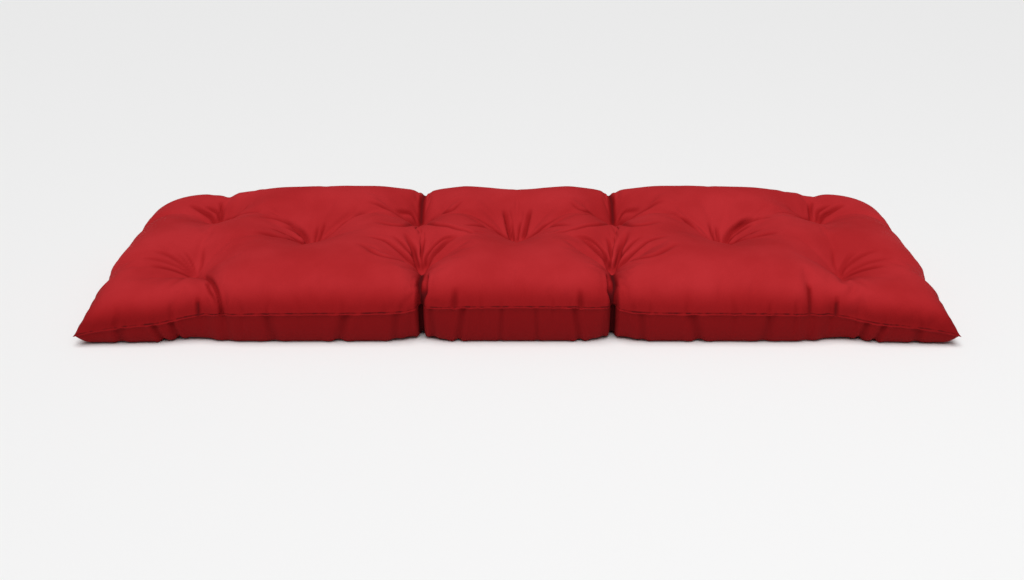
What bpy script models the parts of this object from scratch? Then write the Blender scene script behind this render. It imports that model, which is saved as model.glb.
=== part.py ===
"""Bench cushion: one long stuffed pad of red cloth, tufted in eleven places.

Two equal cloth panels are sewn together along one seam that runs round the whole edge. The
filling swells them into a crowned pad. Threads through the pad pull the panels together at
the tufts, and each thread draws folds into the cloth round it. The pad lies flat on its
underside.

Frame: X along the length, Y from the front edge to the back edge, Z up. The origin is at the
middle of the length and depth, at the height of the surface on which the pad lies. Metres.
"""

import math
from collections import namedtuple

import bmesh
import bpy

# ---------------------------------------------------------------- driving dimensions
LENGTH = 1.500  # between the corner tips, along X
DEPTH = 0.500  # between the corner tips, along Y
CROWN_FRONT = 0.124  # height of the crown near the front edge
CROWN_BACK = 0.165  # height of the crown near the back edge
CROWN_POWER = 1.7  # how late the crown rises towards the back

SEAM_HEIGHT = 0.065  # height of the seam along the middle of each side
SEAM_CORNER_HEIGHT = 0.019  # height of the seam at the corner tips
SEAM_LENGTH_POWER = 4.5  # how late the seam drops towards the corners, along X
SEAM_DEPTH_POWER = 2.6  # the same, along Y
SEAM_FLANGE = 0.004  # width of the raised seam edge
SEAM_THICKNESS = 0.0024  # thickness of the raised seam edge at its root

SHOULDER_LONG = 0.096  # how far in from a long edge the upper side is still rounded
SHOULDER_END = 0.180  # how far in from a short edge the upper side is still rounded
BELLY = 0.020  # how far in from any edge the underside is still rounded

LONG_EDGE_DRAW = 0.007  # how far the long edges are drawn in between the corners
END_EDGE_DRAW = 0.014  # how far the short edges are drawn in between the corners

DIMPLE_POWER = 1.6  # how hollow the sides of a tuft's dimple are in the upper panel
TUFT_UNDER = 0.030  # height of the lower panel at a tuft
DIMPLE_UNDER = 0.030  # reach of a tuft's dimple in the lower panel
DIMPLE_LIMIT = 0.075  # radius outside which the underside is flat

# ---------------------------------------------------------------- mesh density
COLUMNS = 108  # cells along the length
ROWS = 31  # cells along the depth
FINE_COLUMNS = 0.35  # how much denser the columns are at a tuft
FINE_COLUMN_WIDTH = 0.030  # how wide such a dense band is
FINE_DIVISION = 2  # how many times denser still they are at the deep divisions
FINE_ROWS = 0.8  # how much denser the rows are at the long edges
FINE_ROW_WIDTH = 0.050  # how wide that dense band is
FLAT_ANGLE = math.radians(0.5)  # faces of the underside that differ less are one face

# ---------------------------------------------------------------- tufts
# A row for each tuft: its place in plan, the height of the upper panel there, and how far its
# dimple reaches to the sides, to the front and to the back.
Tuft = namedtuple("Tuft", "name x y height reach_side reach_front reach_back")
MIDDLE_TUFT = Tuft("middle", 0.000, 0.040, 0.084, 0.15, 0.20, 0.19)
LEFT_TUFTS = (
    Tuft("division_back", -0.188, 0.112, 0.092, 0.11, 0.23, 0.12),
    Tuft("division_front", -0.169, -0.104, 0.092, 0.11, 0.12, 0.14),
    Tuft("section", -0.385, 0.028, 0.084, 0.16, 0.20, 0.14),
    Tuft("end_back", -0.584, 0.128, 0.090, 0.14, 0.25, 0.10),
    Tuft("end_front", -0.570, -0.116, 0.084, 0.15, 0.16, 0.14),
)

# ---------------------------------------------------------------- valleys and folds
# A row for each valley or fold of the left half: it runs from the start to the end, both in
# plan, is half_width wide on each side of that line, and sinks the cloth by drop.
Fold = namedtuple("Fold", "name start_x start_y end_x end_y half_width drop")
LEFT_FOLDS = (
    # broad valleys between neighbouring tufts, and from the outer tufts to the edges
    Fold("division_valley", -0.188, 0.112, -0.169, -0.104, 0.048, 0.006),
    Fold("division_front_valley", -0.169, -0.104, -0.161, -0.250, 0.036, 0.018),
    Fold("division_back_valley", -0.188, 0.112, -0.178, 0.250, 0.034, 0.006),
    Fold("section_to_division_back", -0.385, 0.028, -0.188, 0.112, 0.045, 0.007),
    Fold("section_to_division_front", -0.385, 0.028, -0.169, -0.104, 0.045, 0.005),
    Fold("section_to_end_back", -0.385, 0.028, -0.584, 0.128, 0.045, 0.007),
    Fold("section_to_end_front", -0.385, 0.028, -0.570, -0.116, 0.045, 0.005),
    Fold("middle_to_division_back", 0.000, 0.040, -0.188, 0.112, 0.045, 0.006),
    Fold("middle_to_division_front", 0.000, 0.040, -0.169, -0.104, 0.045, 0.005),
    Fold("end_valley", -0.584, 0.128, -0.570, -0.116, 0.050, 0.003),
    Fold("end_front_valley", -0.570, -0.116, -0.500, -0.250, 0.036, 0.012),
    Fold("end_side_front", -0.570, -0.116, -0.738, -0.110, 0.036, 0.003),
    Fold("end_side_back", -0.584, 0.128, -0.738, 0.075, 0.036, 0.005),
    Fold("end_back_valley", -0.584, 0.128, -0.599, 0.250, 0.036, 0.002),
    Fold("front_corner_valley", -0.700, -0.190, -0.630, -0.165, 0.100, 0.032),
    # sharp folds, as they radiate from each tuft
    Fold("division_front_fold", -0.170, -0.112, -0.161, -0.252, 0.011, 0.026),
    Fold("division_back_fold", -0.188, 0.120, -0.179, 0.252, 0.010, 0.016),
    Fold("division_star_right", -0.158, -0.092, -0.106, -0.040, 0.013, 0.008),
    Fold("division_star_middle", -0.180, -0.088, -0.203, -0.020, 0.012, 0.006),
    Fold("division_star_left", -0.181, -0.122, -0.243, -0.139, 0.012, 0.006),
    Fold("division_star_back", -0.201, 0.104, -0.267, 0.112, 0.013, 0.006),
    Fold("section_crease_left", -0.393, 0.030, -0.465, 0.040, 0.013, 0.009),
    Fold("section_crease_right", -0.372, 0.036, -0.282, 0.082, 0.013, 0.008),
    Fold("section_crease_back", -0.384, 0.040, -0.380, 0.090, 0.012, 0.005),
    Fold("middle_pleat", -0.012, 0.052, -0.026, 0.108, 0.010, 0.008),
    Fold("middle_side", -0.020, 0.045, -0.109, 0.050, 0.013, 0.006),
    Fold("end_back_left", -0.592, 0.134, -0.648, 0.166, 0.013, 0.007),
    Fold("end_back_middle", -0.582, 0.140, -0.584, 0.190, 0.012, 0.006),
    Fold("end_back_right", -0.571, 0.132, -0.500, 0.116, 0.013, 0.006),
    Fold("end_front_left", -0.579, -0.112, -0.639, -0.082, 0.013, 0.007),
    Fold("end_front_side", -0.582, -0.120, -0.668, -0.108, 0.013, 0.006),
    Fold("end_front_fold", -0.556, -0.128, -0.493, -0.250, 0.012, 0.012),
    Fold("end_front_short", -0.535, -0.205, -0.526, -0.250, 0.011, 0.010),
)

# A row for each place where the edge is pulled in: the distance along the edge from the
# middle, its half width there, and how far it is pulled.
Notch = namedtuple("Notch", "name place half_width pull")
FRONT_NOTCHES = (
    Notch("division", 0.163, 0.012, 0.026),
    Notch("division_wide", 0.165, 0.042, 0.008),
    Notch("end_outer", 0.527, 0.014, 0.004),
    Notch("end_inner", 0.493, 0.014, 0.006),
    Notch("end_wide", 0.555, 0.070, 0.010),
)
BACK_NOTCHES = (
    Notch("division", 0.178, 0.012, 0.008),
    Notch("division_wide", 0.180, 0.042, 0.005),
    Notch("end_wide", 0.595, 0.060, 0.005),
)
END_NOTCHES = (
    Notch("front", -0.118, 0.046, 0.009),
    Notch("back", 0.072, 0.042, 0.006),
)
# How far the lower edge of the front lifts off the surface over the notches.
LIFT_NOTCHES = (
    Notch("division", 0.166, 0.060, 0.034),
    Notch("end", 0.560, 0.060, 0.018),
)

# The height of the front seam at distances from the middle: it sags beside each tuft.
Level = namedtuple("Level", "place height")
FRONT_SEAM = (
    Level(0.000, 0.0700),
    Level(0.100, 0.0695),
    Level(0.150, 0.0670),
    Level(0.165, 0.0640),
    Level(0.185, 0.0600),
    Level(0.250, 0.0575),
    Level(0.450, 0.0565),
    Level(0.500, 0.0555),
    Level(0.530, 0.0530),
    Level(0.555, 0.0485),
    Level(0.580, 0.0430),
    Level(0.605, 0.0395),
    Level(0.660, 0.0355),
    Level(0.715, 0.0275),
    Level(0.750, 0.0200),
)
# How much lower the back of the crown is at distances from the middle.
CROWN_TRIM = (
    Level(0.000, 0.004),
    Level(0.050, 0.001),
    Level(0.100, 0.000),
    Level(0.350, 0.001),
    Level(0.450, 0.004),
    Level(0.520, 0.007),
    Level(0.600, 0.009),
    Level(0.750, 0.009),
)

CLOTH_RED = (0.400, 0.018, 0.024, 1.0)
CLOTH_ROUGHNESS = 0.82


def clamp(value, low, high):
    """Return value held between low and high."""
    return max(low, min(high, value))


def bump(distance, half_width):
    """Return a smooth bump: 1 at distance 0, falling to 0 at half_width."""
    share = clamp(abs(distance) / half_width, 0.0, 1.0)
    return (1.0 - share * share) ** 2


def rounded(distance, reach):
    """Return the quarter-round rise from 0 at an edge to 1 at reach from it."""
    missing = clamp(1.0 - distance / reach, 0.0, 1.0)
    return math.sqrt(1.0 - missing * missing)


def level_at(place, levels):
    """Return the height between the rows of a table of levels, straight from row to row."""
    for low, high in zip(levels, levels[1:]):
        if place <= high.place:
            share = clamp((place - low.place) / (high.place - low.place), 0.0, 1.0)
            return low.height + (high.height - low.height) * share
    return levels[-1].height


def mirrored_tufts():
    """Return all eleven tufts."""
    tufts = [MIDDLE_TUFT]
    for tuft in LEFT_TUFTS:
        tufts.append(tuft)
        tufts.append(tuft._replace(x=-tuft.x))
    return tufts


TUFTS = mirrored_tufts()


def graded_lines(cells, half_span, fine_places, fine_width, fineness):
    """Return cell borders from -half_span to half_span, closer together at fine_places."""
    samples = 2000
    total = 0.0
    running = [0.0]
    for index in range(samples):
        place = -half_span + 2.0 * half_span * (index + 0.5) / samples
        density = 1.0
        for fine in fine_places:
            density += fineness * math.exp(-(((place - fine) / fine_width) ** 2))
        total += density
        running.append(total)
    borders = []
    cursor = 0
    for line in range(cells + 1):
        target = total * line / cells
        while cursor < samples - 1 and running[cursor + 1] < target:
            cursor += 1
        step = running[cursor + 1] - running[cursor]
        share = clamp((target - running[cursor]) / step, 0.0, 1.0)
        borders.append(-half_span + 2.0 * half_span * (cursor + share) / samples)
    return borders


def panel_lines(cells, span, fine_places, fine_width, fineness):
    """Return a panel's cell borders, with one narrow cell for the seam at each end."""
    half = 0.5 * span
    inner = graded_lines(cells - 2, half - SEAM_FLANGE, fine_places, fine_width, fineness)
    return [-half] + inner + [half]


def notch_pull(place, notches, mirrored):
    """Return how far the notches pull the edge in at place."""
    pull = 0.0
    for notch in notches:
        distance = abs(place) - notch.place if mirrored else place - notch.place
        pull += notch.pull * bump(distance, notch.half_width)
    return pull


def plan_place(panel_x, panel_y):
    """Return where a point of the flat panel lies in plan once the pad is filled."""
    across = panel_x / (0.5 * LENGTH)
    along = panel_y / (0.5 * DEPTH)
    long_draw = LONG_EDGE_DRAW * (1.0 - abs(across) ** 3)
    long_draw += notch_pull(panel_x, FRONT_NOTCHES if panel_y < 0.0 else BACK_NOTCHES, True)
    end_draw = END_EDGE_DRAW * (1.0 - along**2)
    end_draw += notch_pull(panel_y, END_NOTCHES, False)
    x = panel_x - math.copysign(end_draw * abs(across) ** 10, panel_x)
    y = panel_y - math.copysign(long_draw * abs(along) ** 4, panel_y)
    return x, y


def seam_height(panel_x, panel_y):
    """Return the height of the seam, low at the corners and level between them."""
    across = abs(panel_x) / (0.5 * LENGTH)
    along = abs(panel_y) / (0.5 * DEPTH)
    corner = across**SEAM_LENGTH_POWER * along**SEAM_DEPTH_POWER
    level = SEAM_HEIGHT - (SEAM_HEIGHT - SEAM_CORNER_HEIGHT) * corner
    frontness = clamp(-panel_y / (0.5 * DEPTH), 0.0, 1.0) ** 3
    return level + (level_at(abs(panel_x), FRONT_SEAM) - level) * frontness


def upper_pull(x, y):
    """Return how strongly the tufts pull the upper panel, and the height they pull it to."""
    total = 0.0
    heights = 0.0
    for tuft in TUFTS:
        reach = tuft.reach_front if y < tuft.y else tuft.reach_back
        distance = math.hypot((x - tuft.x) / tuft.reach_side, (y - tuft.y) / reach)
        pull = clamp(1.0 - distance, 0.0, 1.0) ** (3.0 * DIMPLE_POWER)
        total += pull
        heights += pull * tuft.height
    return min(1.0, total ** (1.0 / 3.0)), heights / max(total, 1e-12)


def lower_pull(nearest):
    """Return how strongly a tuft pulls the lower panel at a distance from it."""
    return math.exp(-nearest / DIMPLE_UNDER) * bump(nearest, DIMPLE_LIMIT)


def fold_drop(x, y):
    """Return how far valleys and folds sink the upper panel at a place in plan."""
    drop = 0.0
    side_x = -abs(x)
    for fold in LEFT_FOLDS:
        run_x = fold.end_x - fold.start_x
        run_y = fold.end_y - fold.start_y
        length = math.hypot(run_x, run_y)
        along = ((side_x - fold.start_x) * run_x + (y - fold.start_y) * run_y) / length
        aside = ((side_x - fold.start_x) * run_y - (y - fold.start_y) * run_x) / length
        past = max(-along, along - length, 0.0)
        distance = math.hypot(aside, past)
        if distance < fold.half_width:
            drop += fold.drop * bump(distance, fold.half_width)
    return drop


def upper_height(panel_x, panel_y, x, y):
    """Return the height of the upper panel."""
    seam = seam_height(panel_x, panel_y)
    end_distance = 0.5 * LENGTH - SEAM_FLANGE - abs(panel_x)
    long_distance = 0.5 * DEPTH - SEAM_FLANGE - abs(panel_y)
    if end_distance < -1e-6 or long_distance < -1e-6:
        return seam
    root = seam + 0.5 * SEAM_THICKNESS
    back_share = clamp(panel_y / DEPTH + 0.5, 0.0, 1.0)
    rise = back_share**CROWN_POWER
    crown = CROWN_FRONT + (CROWN_BACK - CROWN_FRONT - level_at(abs(panel_x), CROWN_TRIM)) * rise
    swell = rounded(end_distance, SHOULDER_END) * rounded(long_distance, SHOULDER_LONG)
    height = root + (crown - root) * swell
    pull, floor = upper_pull(x, y)
    height -= max(height - floor, 0.0) * pull
    above_root = max(height - root, 0.0)
    drop = fold_drop(x, y) * swell
    if drop > 0.0:
        height = root + above_root * above_root / (above_root + drop)
    return height


def lower_height(panel_x, panel_y, x, y):
    """Return the height of the lower panel, flat except at the edges and the tufts."""
    seam = seam_height(panel_x, panel_y)
    root = seam - 0.5 * SEAM_THICKNESS
    end_distance = 0.5 * LENGTH - SEAM_FLANGE - abs(panel_x)
    long_distance = 0.5 * DEPTH - SEAM_FLANGE - abs(panel_y)
    swell = rounded(end_distance, BELLY) * rounded(long_distance, BELLY)
    height = root * (1.0 - swell)
    rim = clamp(1.0 - long_distance / (2.0 * BELLY), 0.0, 1.0)
    height += notch_pull(panel_x, LIFT_NOTCHES, True) * rim * rim * swell
    nearest = min(math.hypot(x - tuft.x, y - tuft.y) for tuft in TUFTS)
    if nearest < DIMPLE_LIMIT:
        height += (TUFT_UNDER - height) * lower_pull(nearest)
    return height


def add_panel(bm, column_lines, row_lines, height_of, upwards):
    """Add one cloth panel as a grid and move its points to their filled places."""
    made = bmesh.ops.create_grid(
        bm, x_segments=len(column_lines) - 1, y_segments=len(row_lines) - 1, size=1.0
    )
    columns = len(column_lines) - 1
    rows = len(row_lines) - 1
    for vert in made["verts"]:
        column = round((vert.co.x + 1.0) * 0.5 * columns)
        row = round((vert.co.y + 1.0) * 0.5 * rows)
        panel_x = column_lines[column]
        panel_y = row_lines[row]
        x, y = plan_place(panel_x, panel_y)
        on_seam = column in (0, columns) or row in (0, rows)
        height = seam_height(panel_x, panel_y) if on_seam else height_of(panel_x, panel_y, x, y)
        vert.co = (x, y, height)
    faces = list({face for vert in made["verts"] for face in vert.link_faces})
    if not upwards:
        bmesh.ops.reverse_faces(bm, faces=faces)
    return faces


def merge_flat_faces(bm, faces):
    """Make the flat part of the underside into few large faces."""
    level = 1e-6
    flat = [face for face in faces if all(vert.co.z < level for vert in face.verts)]
    edges = {edge for face in flat for edge in face.edges}
    inner = [edge for edge in edges if all(face in flat for face in edge.link_faces)]
    verts = {vert for edge in inner for vert in edge.verts}
    inner_verts = [vert for vert in verts if all(edge in edges for edge in vert.link_edges)]
    bmesh.ops.dissolve_limit(bm, angle_limit=FLAT_ANGLE, verts=inner_verts, edges=inner)


def build_cushion():
    """Build the filled pad as one closed solid."""
    division_x = FRONT_NOTCHES[0].place
    fine_columns = [tuft.x for tuft in TUFTS] + [-division_x, division_x] * FINE_DIVISION
    fine_rows = (-0.5 * DEPTH, 0.5 * DEPTH)
    column_lines = panel_lines(COLUMNS, LENGTH, fine_columns, FINE_COLUMN_WIDTH, FINE_COLUMNS)
    row_lines = panel_lines(ROWS, DEPTH, fine_rows, FINE_ROW_WIDTH, FINE_ROWS)
    bm = bmesh.new()
    add_panel(bm, column_lines, row_lines, upper_height, True)
    underside = add_panel(bm, column_lines, row_lines, lower_height, False)
    merge_flat_faces(bm, underside)
    bmesh.ops.remove_doubles(bm, verts=bm.verts, dist=1e-5)
    bmesh.ops.triangulate(bm, faces=bm.faces)
    bmesh.ops.recalc_face_normals(bm, faces=bm.faces)
    mesh = bpy.data.meshes.new("cushion")
    bm.to_mesh(mesh)
    bm.free()
    mesh.shade_smooth()
    return bpy.data.objects.new("cushion", mesh)


def cloth_material():
    """Return the plain red cloth of the pad."""
    material = bpy.data.materials.new("red_cloth")
    material.use_nodes = True
    shader = material.node_tree.nodes["Principled BSDF"]
    shader.inputs["Base Color"].default_value = CLOTH_RED
    shader.inputs["Roughness"].default_value = CLOTH_ROUGHNESS
    shader.inputs["Metallic"].default_value = 0.0
    return material


def main():
    """Clear the scene and build the cushion in a collection of its own."""
    for thing in list(bpy.data.objects):
        bpy.data.objects.remove(thing)
    collection = bpy.data.collections.new("bench_cushion")
    bpy.context.scene.collection.children.link(collection)
    cushion = build_cushion()
    cushion.data.materials.append(cloth_material())
    collection.objects.link(cushion)


main()
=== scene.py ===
"""Visual model of the bench cushion: a long stuffed pad of red cloth, tufted in eleven places.

The pad is sewn from two equal panels. Each panel is laid out as a grid, moved to its filled
form, and blown up a little by Blender's Cloth, which wrinkles it as real filling does. The
folds that the threads draw into the cloth are pressed in afterwards, and the sewing is added.

Frame: X along the length, Y from the front edge to the back edge, Z up, in metres, as in the
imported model.
"""

import enum
import logging
import math
import random
from dataclasses import dataclass, field, replace
from functools import partial
from typing import Union

import bpy
import numpy as np
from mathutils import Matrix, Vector


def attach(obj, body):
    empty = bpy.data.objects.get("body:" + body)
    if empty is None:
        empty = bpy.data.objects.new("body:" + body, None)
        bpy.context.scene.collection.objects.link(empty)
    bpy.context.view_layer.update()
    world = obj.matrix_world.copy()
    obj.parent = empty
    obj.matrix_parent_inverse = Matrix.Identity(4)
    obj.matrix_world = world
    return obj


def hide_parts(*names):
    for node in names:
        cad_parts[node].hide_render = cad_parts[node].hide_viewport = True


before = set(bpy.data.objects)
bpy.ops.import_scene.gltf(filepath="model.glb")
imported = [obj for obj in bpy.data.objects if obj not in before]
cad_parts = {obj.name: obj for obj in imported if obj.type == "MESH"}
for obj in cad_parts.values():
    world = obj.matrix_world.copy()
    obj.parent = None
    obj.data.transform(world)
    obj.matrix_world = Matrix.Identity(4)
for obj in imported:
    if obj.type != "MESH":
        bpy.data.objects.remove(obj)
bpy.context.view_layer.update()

LOG = logging.getLogger("bench_cushion")
IMAGE_WIDTH = 1024
BODY = "root"
CAD_NODE = "cushion"

Array = np.ndarray
Piece = bpy.types.Object
Mesh = bpy.types.Mesh
Socket = bpy.types.NodeSocket
Colour = tuple[float, float, float]
FinePlaces = tuple[tuple[float, float], ...]
Source = Union[Socket, float, Colour]

# A distance beyond any piece, the least divisor, and how far off a place may be, in metres.
FAR = 1e9
TINY = 1e-9
TOLERANCE = 1e-6
MIRRORS = (1.0, -1.0)
# Which panel a vertex belongs to, in the attribute "panel": 1 top, 0 seam, -1 bottom.
ON_TOP = 0.5
ON_BOTTOM = -0.5
# The Wave texture turns through 20 radians over each unit at a scale of 1.
WAVE_RADIANS = 20.0


# ---------------------------------------------------------------- small mesh helpers
def deselect_all() -> None:
    """Leave edit mode and deselect every object."""
    if bpy.context.object is not None and bpy.context.object.mode != "OBJECT":
        bpy.ops.object.mode_set(mode="OBJECT")
    bpy.ops.object.select_all(action="DESELECT")


def make_active(piece: Piece) -> None:
    """Select one piece only and make it the active one.

    Args:
        piece: the piece.
    """
    deselect_all()
    piece.select_set(True)
    bpy.context.view_layer.objects.active = piece


def read(
    items: bpy.types.bpy_prop_collection, key: str, width: int = 1, whole: bool = False
) -> Array:
    """Read one property of all the parts of a mesh.

    Args:
        items: the parts, such as its vertices or the data of an attribute.
        key: the property's name.
        width: how many numbers each part has.
        whole: whether they are whole numbers.

    Returns:
        One number for each part, or one row of numbers where width is more than 1.
    """
    values = np.empty(len(items) * width, dtype=np.int32 if whole else np.float32)
    items.foreach_get(key, values)
    values = values if whole else values.astype(np.float64)
    return values.reshape(-1, width) if width > 1 else values


def vertex_places(mesh: Mesh) -> Array:
    """Read a mesh's vertices, one row of three coordinates each."""
    return read(mesh.vertices, "co", 3)


def set_vertex_places(mesh: Mesh, places: Array) -> None:
    """Write a mesh's vertices.

    Args:
        mesh: the mesh to write.
        places: one row of three coordinates for each vertex.
    """
    mesh.vertices.foreach_set("co", places.astype(np.float32).ravel())
    mesh.update()


def vertex_normals(mesh: Mesh) -> Array:
    """Read a mesh's vertex normals, one row each."""
    return read(mesh.vertex_normals, "vector", 3)


def point_vector(mesh: Mesh, name: str) -> Array:
    """Read a vector attribute of the vertices, one row each."""
    return read(mesh.attributes[name].data, "vector", 3)


def store_point_vector(mesh: Mesh, name: str, values: Array) -> None:
    """Write a vector attribute of the vertices, one row each."""
    layer = mesh.attributes.get(name) or mesh.attributes.new(name, "FLOAT_VECTOR", "POINT")
    layer.data.foreach_set("vector", values.astype(np.float32).ravel())


def store_point_number(mesh: Mesh, name: str, values: Array) -> None:
    """Write a number attribute of the vertices, one number each."""
    layer = mesh.attributes.get(name) or mesh.attributes.new(name, "FLOAT", "POINT")
    layer.data.foreach_set("value", values.astype(np.float32))


def point_number(mesh: Mesh, name: str) -> Array:
    """Read a number attribute of the vertices, one number each."""
    return read(mesh.attributes[name].data, "value")


def smoothed(values: Array, edges: Array, rounds: int) -> Array:
    """Average values over neighbouring vertices.

    Args:
        values: one row for each vertex.
        edges: one row of two vertex numbers for each edge.
        rounds: how many times each vertex takes the mean of itself and its neighbours.

    Returns:
        The averaged values, in the same shape.
    """
    count = len(values)
    first, second = edges[:, 0], edges[:, 1]
    degree = 1.0 + np.bincount(first, minlength=count) + np.bincount(second, minlength=count)
    result = values.astype(np.float64).copy()
    for _ in range(rounds):
        for column in range(result.shape[1]):
            line = result[:, column]
            total = line + np.bincount(first, line[second], count)
            total += np.bincount(second, line[first], count)
            result[:, column] = total / degree
    return result


def store_weights(piece: Piece, name: str, weights: Array) -> None:
    """Store a weight for each vertex in a vertex group.

    Args:
        piece: the piece that gets the group.
        name: the group's name.
        weights: one weight from 0 to 1 for each vertex, kept to two decimals.
    """
    group = piece.vertex_groups.new(name=name)
    levels = np.round(weights, 2)
    for level in np.unique(levels):
        if level > 0.0:
            chosen = np.nonzero(levels == level)[0]
            group.add([int(number) for number in chosen], float(level), "REPLACE")


def bump(distance: Array, half_width: float) -> Array:
    """Return a smooth bump, 1 at distance 0 and 0 from half_width on."""
    share = np.clip(np.abs(distance) / half_width, 0.0, 1.0)
    return (1.0 - share**2) ** 2


def smooth_step(values: Array, low: float, high: float) -> Array:
    """Return the smooth rise from 0 at low to 1 at high."""
    share = np.clip((values - low) / (high - low), 0.0, 1.0)
    return share * share * (3.0 - 2.0 * share)


def rounded(distance: Array, reach: float) -> Array:
    """Return the quarter-round rise from 0 at an edge to 1 at reach from it."""
    missing = np.clip(1.0 - distance / reach, 0.0, 1.0)
    return np.sqrt(1.0 - missing**2)


# ---------------------------------------------------------------- the filled form
@dataclass(frozen=True)
class Tuft:
    """One place where a thread ties the two panels together.

    height is that of the top panel there. The reaches say how far the dimple spreads: to the
    sides, to the front and to the back. looseness is how much spare cloth lies round it.
    """

    name: str
    x: float
    y: float
    height: float
    reach_side: float
    reach_front: float
    reach_back: float
    looseness: float = 1.0

    def distance(self, places: Array) -> Array:
        """Return how far places lie from the tuft in plan."""
        return np.hypot(places[:, 0] - self.x, places[:, 1] - self.y)


@dataclass(frozen=True)
class Notch:
    """A place where an edge is pulled in, at a distance from the middle of that edge."""

    place: float
    half_width: float
    pull: float


class FoldKind(enum.Enum):
    """How a fold is made."""

    VALLEY = "broad sinking of the filled form"
    FOLD = "deep fold of the filled form"
    CREASE = "sharp line pressed in after the filling"


class Half(enum.Enum):
    """The half of the pad on which a fold is found."""

    LEFT = -1
    BOTH = 0
    RIGHT = 1


@dataclass(frozen=True)
class Fold:
    """A valley, fold or crease, with its path on the left half.

    On the right half it is mirrored. It runs over the points of its path, in plan, and is
    half_width wide on each side. depth is how far the cloth sinks, fade is the share of its
    length over which it ends, and shade is how much shade is painted inside it.
    """

    name: str
    kind: FoldKind
    path: tuple[tuple[float, float], ...]
    half_width: float
    depth: float
    fade: float = 0.5
    shade: float = 0.45
    half: Half = Half.BOTH

    def distance(self, plan: Array) -> Array:
        """Measure how far places lie from the fold.

        Args:
            plan: the places in plan, one row each.

        Returns:
            The distance of each place, very large on a half that doesn't have the fold.
        """
        left = np.stack([-np.abs(plan[:, 0]), plan[:, 1]], axis=1)
        distance, _ = path_distance(np.asarray(self.path), left)
        return np.where(self.half.value * plan[:, 0] < 0.0, FAR, distance)


def make_fold(
    kind: FoldKind,
    name: str,
    half_width: float,
    depth: float,
    line: tuple[int, ...],
    fade: float = 0.5,
    shade: float = 0.45,
    half: Half = Half.BOTH,
) -> Fold:
    """Make a fold from measures in millimetres.

    Args:
        kind: how it is made.
        name: its name.
        half_width: how wide it is on each side.
        depth: how far the cloth sinks.
        line: the places that it runs through on the left half, X and Y by turns.
        fade: the share of its length over which it ends.
        shade: how much shade is painted inside it.
        half: the half on which it is found.

    Returns:
        The fold, with its measures in metres.
    """
    path = tuple((x / 1000.0, y / 1000.0) for x, y in zip(line[::2], line[1::2]))
    return Fold(name, kind, path, half_width / 1000.0, depth / 1000.0, fade, shade, half)


valley = partial(make_fold, FoldKind.VALLEY)
deep_fold = partial(make_fold, FoldKind.FOLD)
crease = partial(make_fold, FoldKind.CREASE)

MIDDLE_TUFT = Tuft("middle", 0.000, 0.040, 0.084, 0.15, 0.20, 0.19)
LEFT_TUFTS = (
    Tuft("division_back", -0.188, 0.112, 0.092, 0.11, 0.23, 0.12, looseness=0.8),
    Tuft("division_front", -0.169, -0.104, 0.092, 0.11, 0.12, 0.14),
    Tuft("section", -0.385, 0.028, 0.084, 0.16, 0.20, 0.14),
    Tuft("end_back", -0.584, 0.128, 0.090, 0.14, 0.25, 0.10, looseness=0.35),
    Tuft("end_front", -0.570, -0.116, 0.084, 0.15, 0.16, 0.14, looseness=0.55),
)
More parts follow.
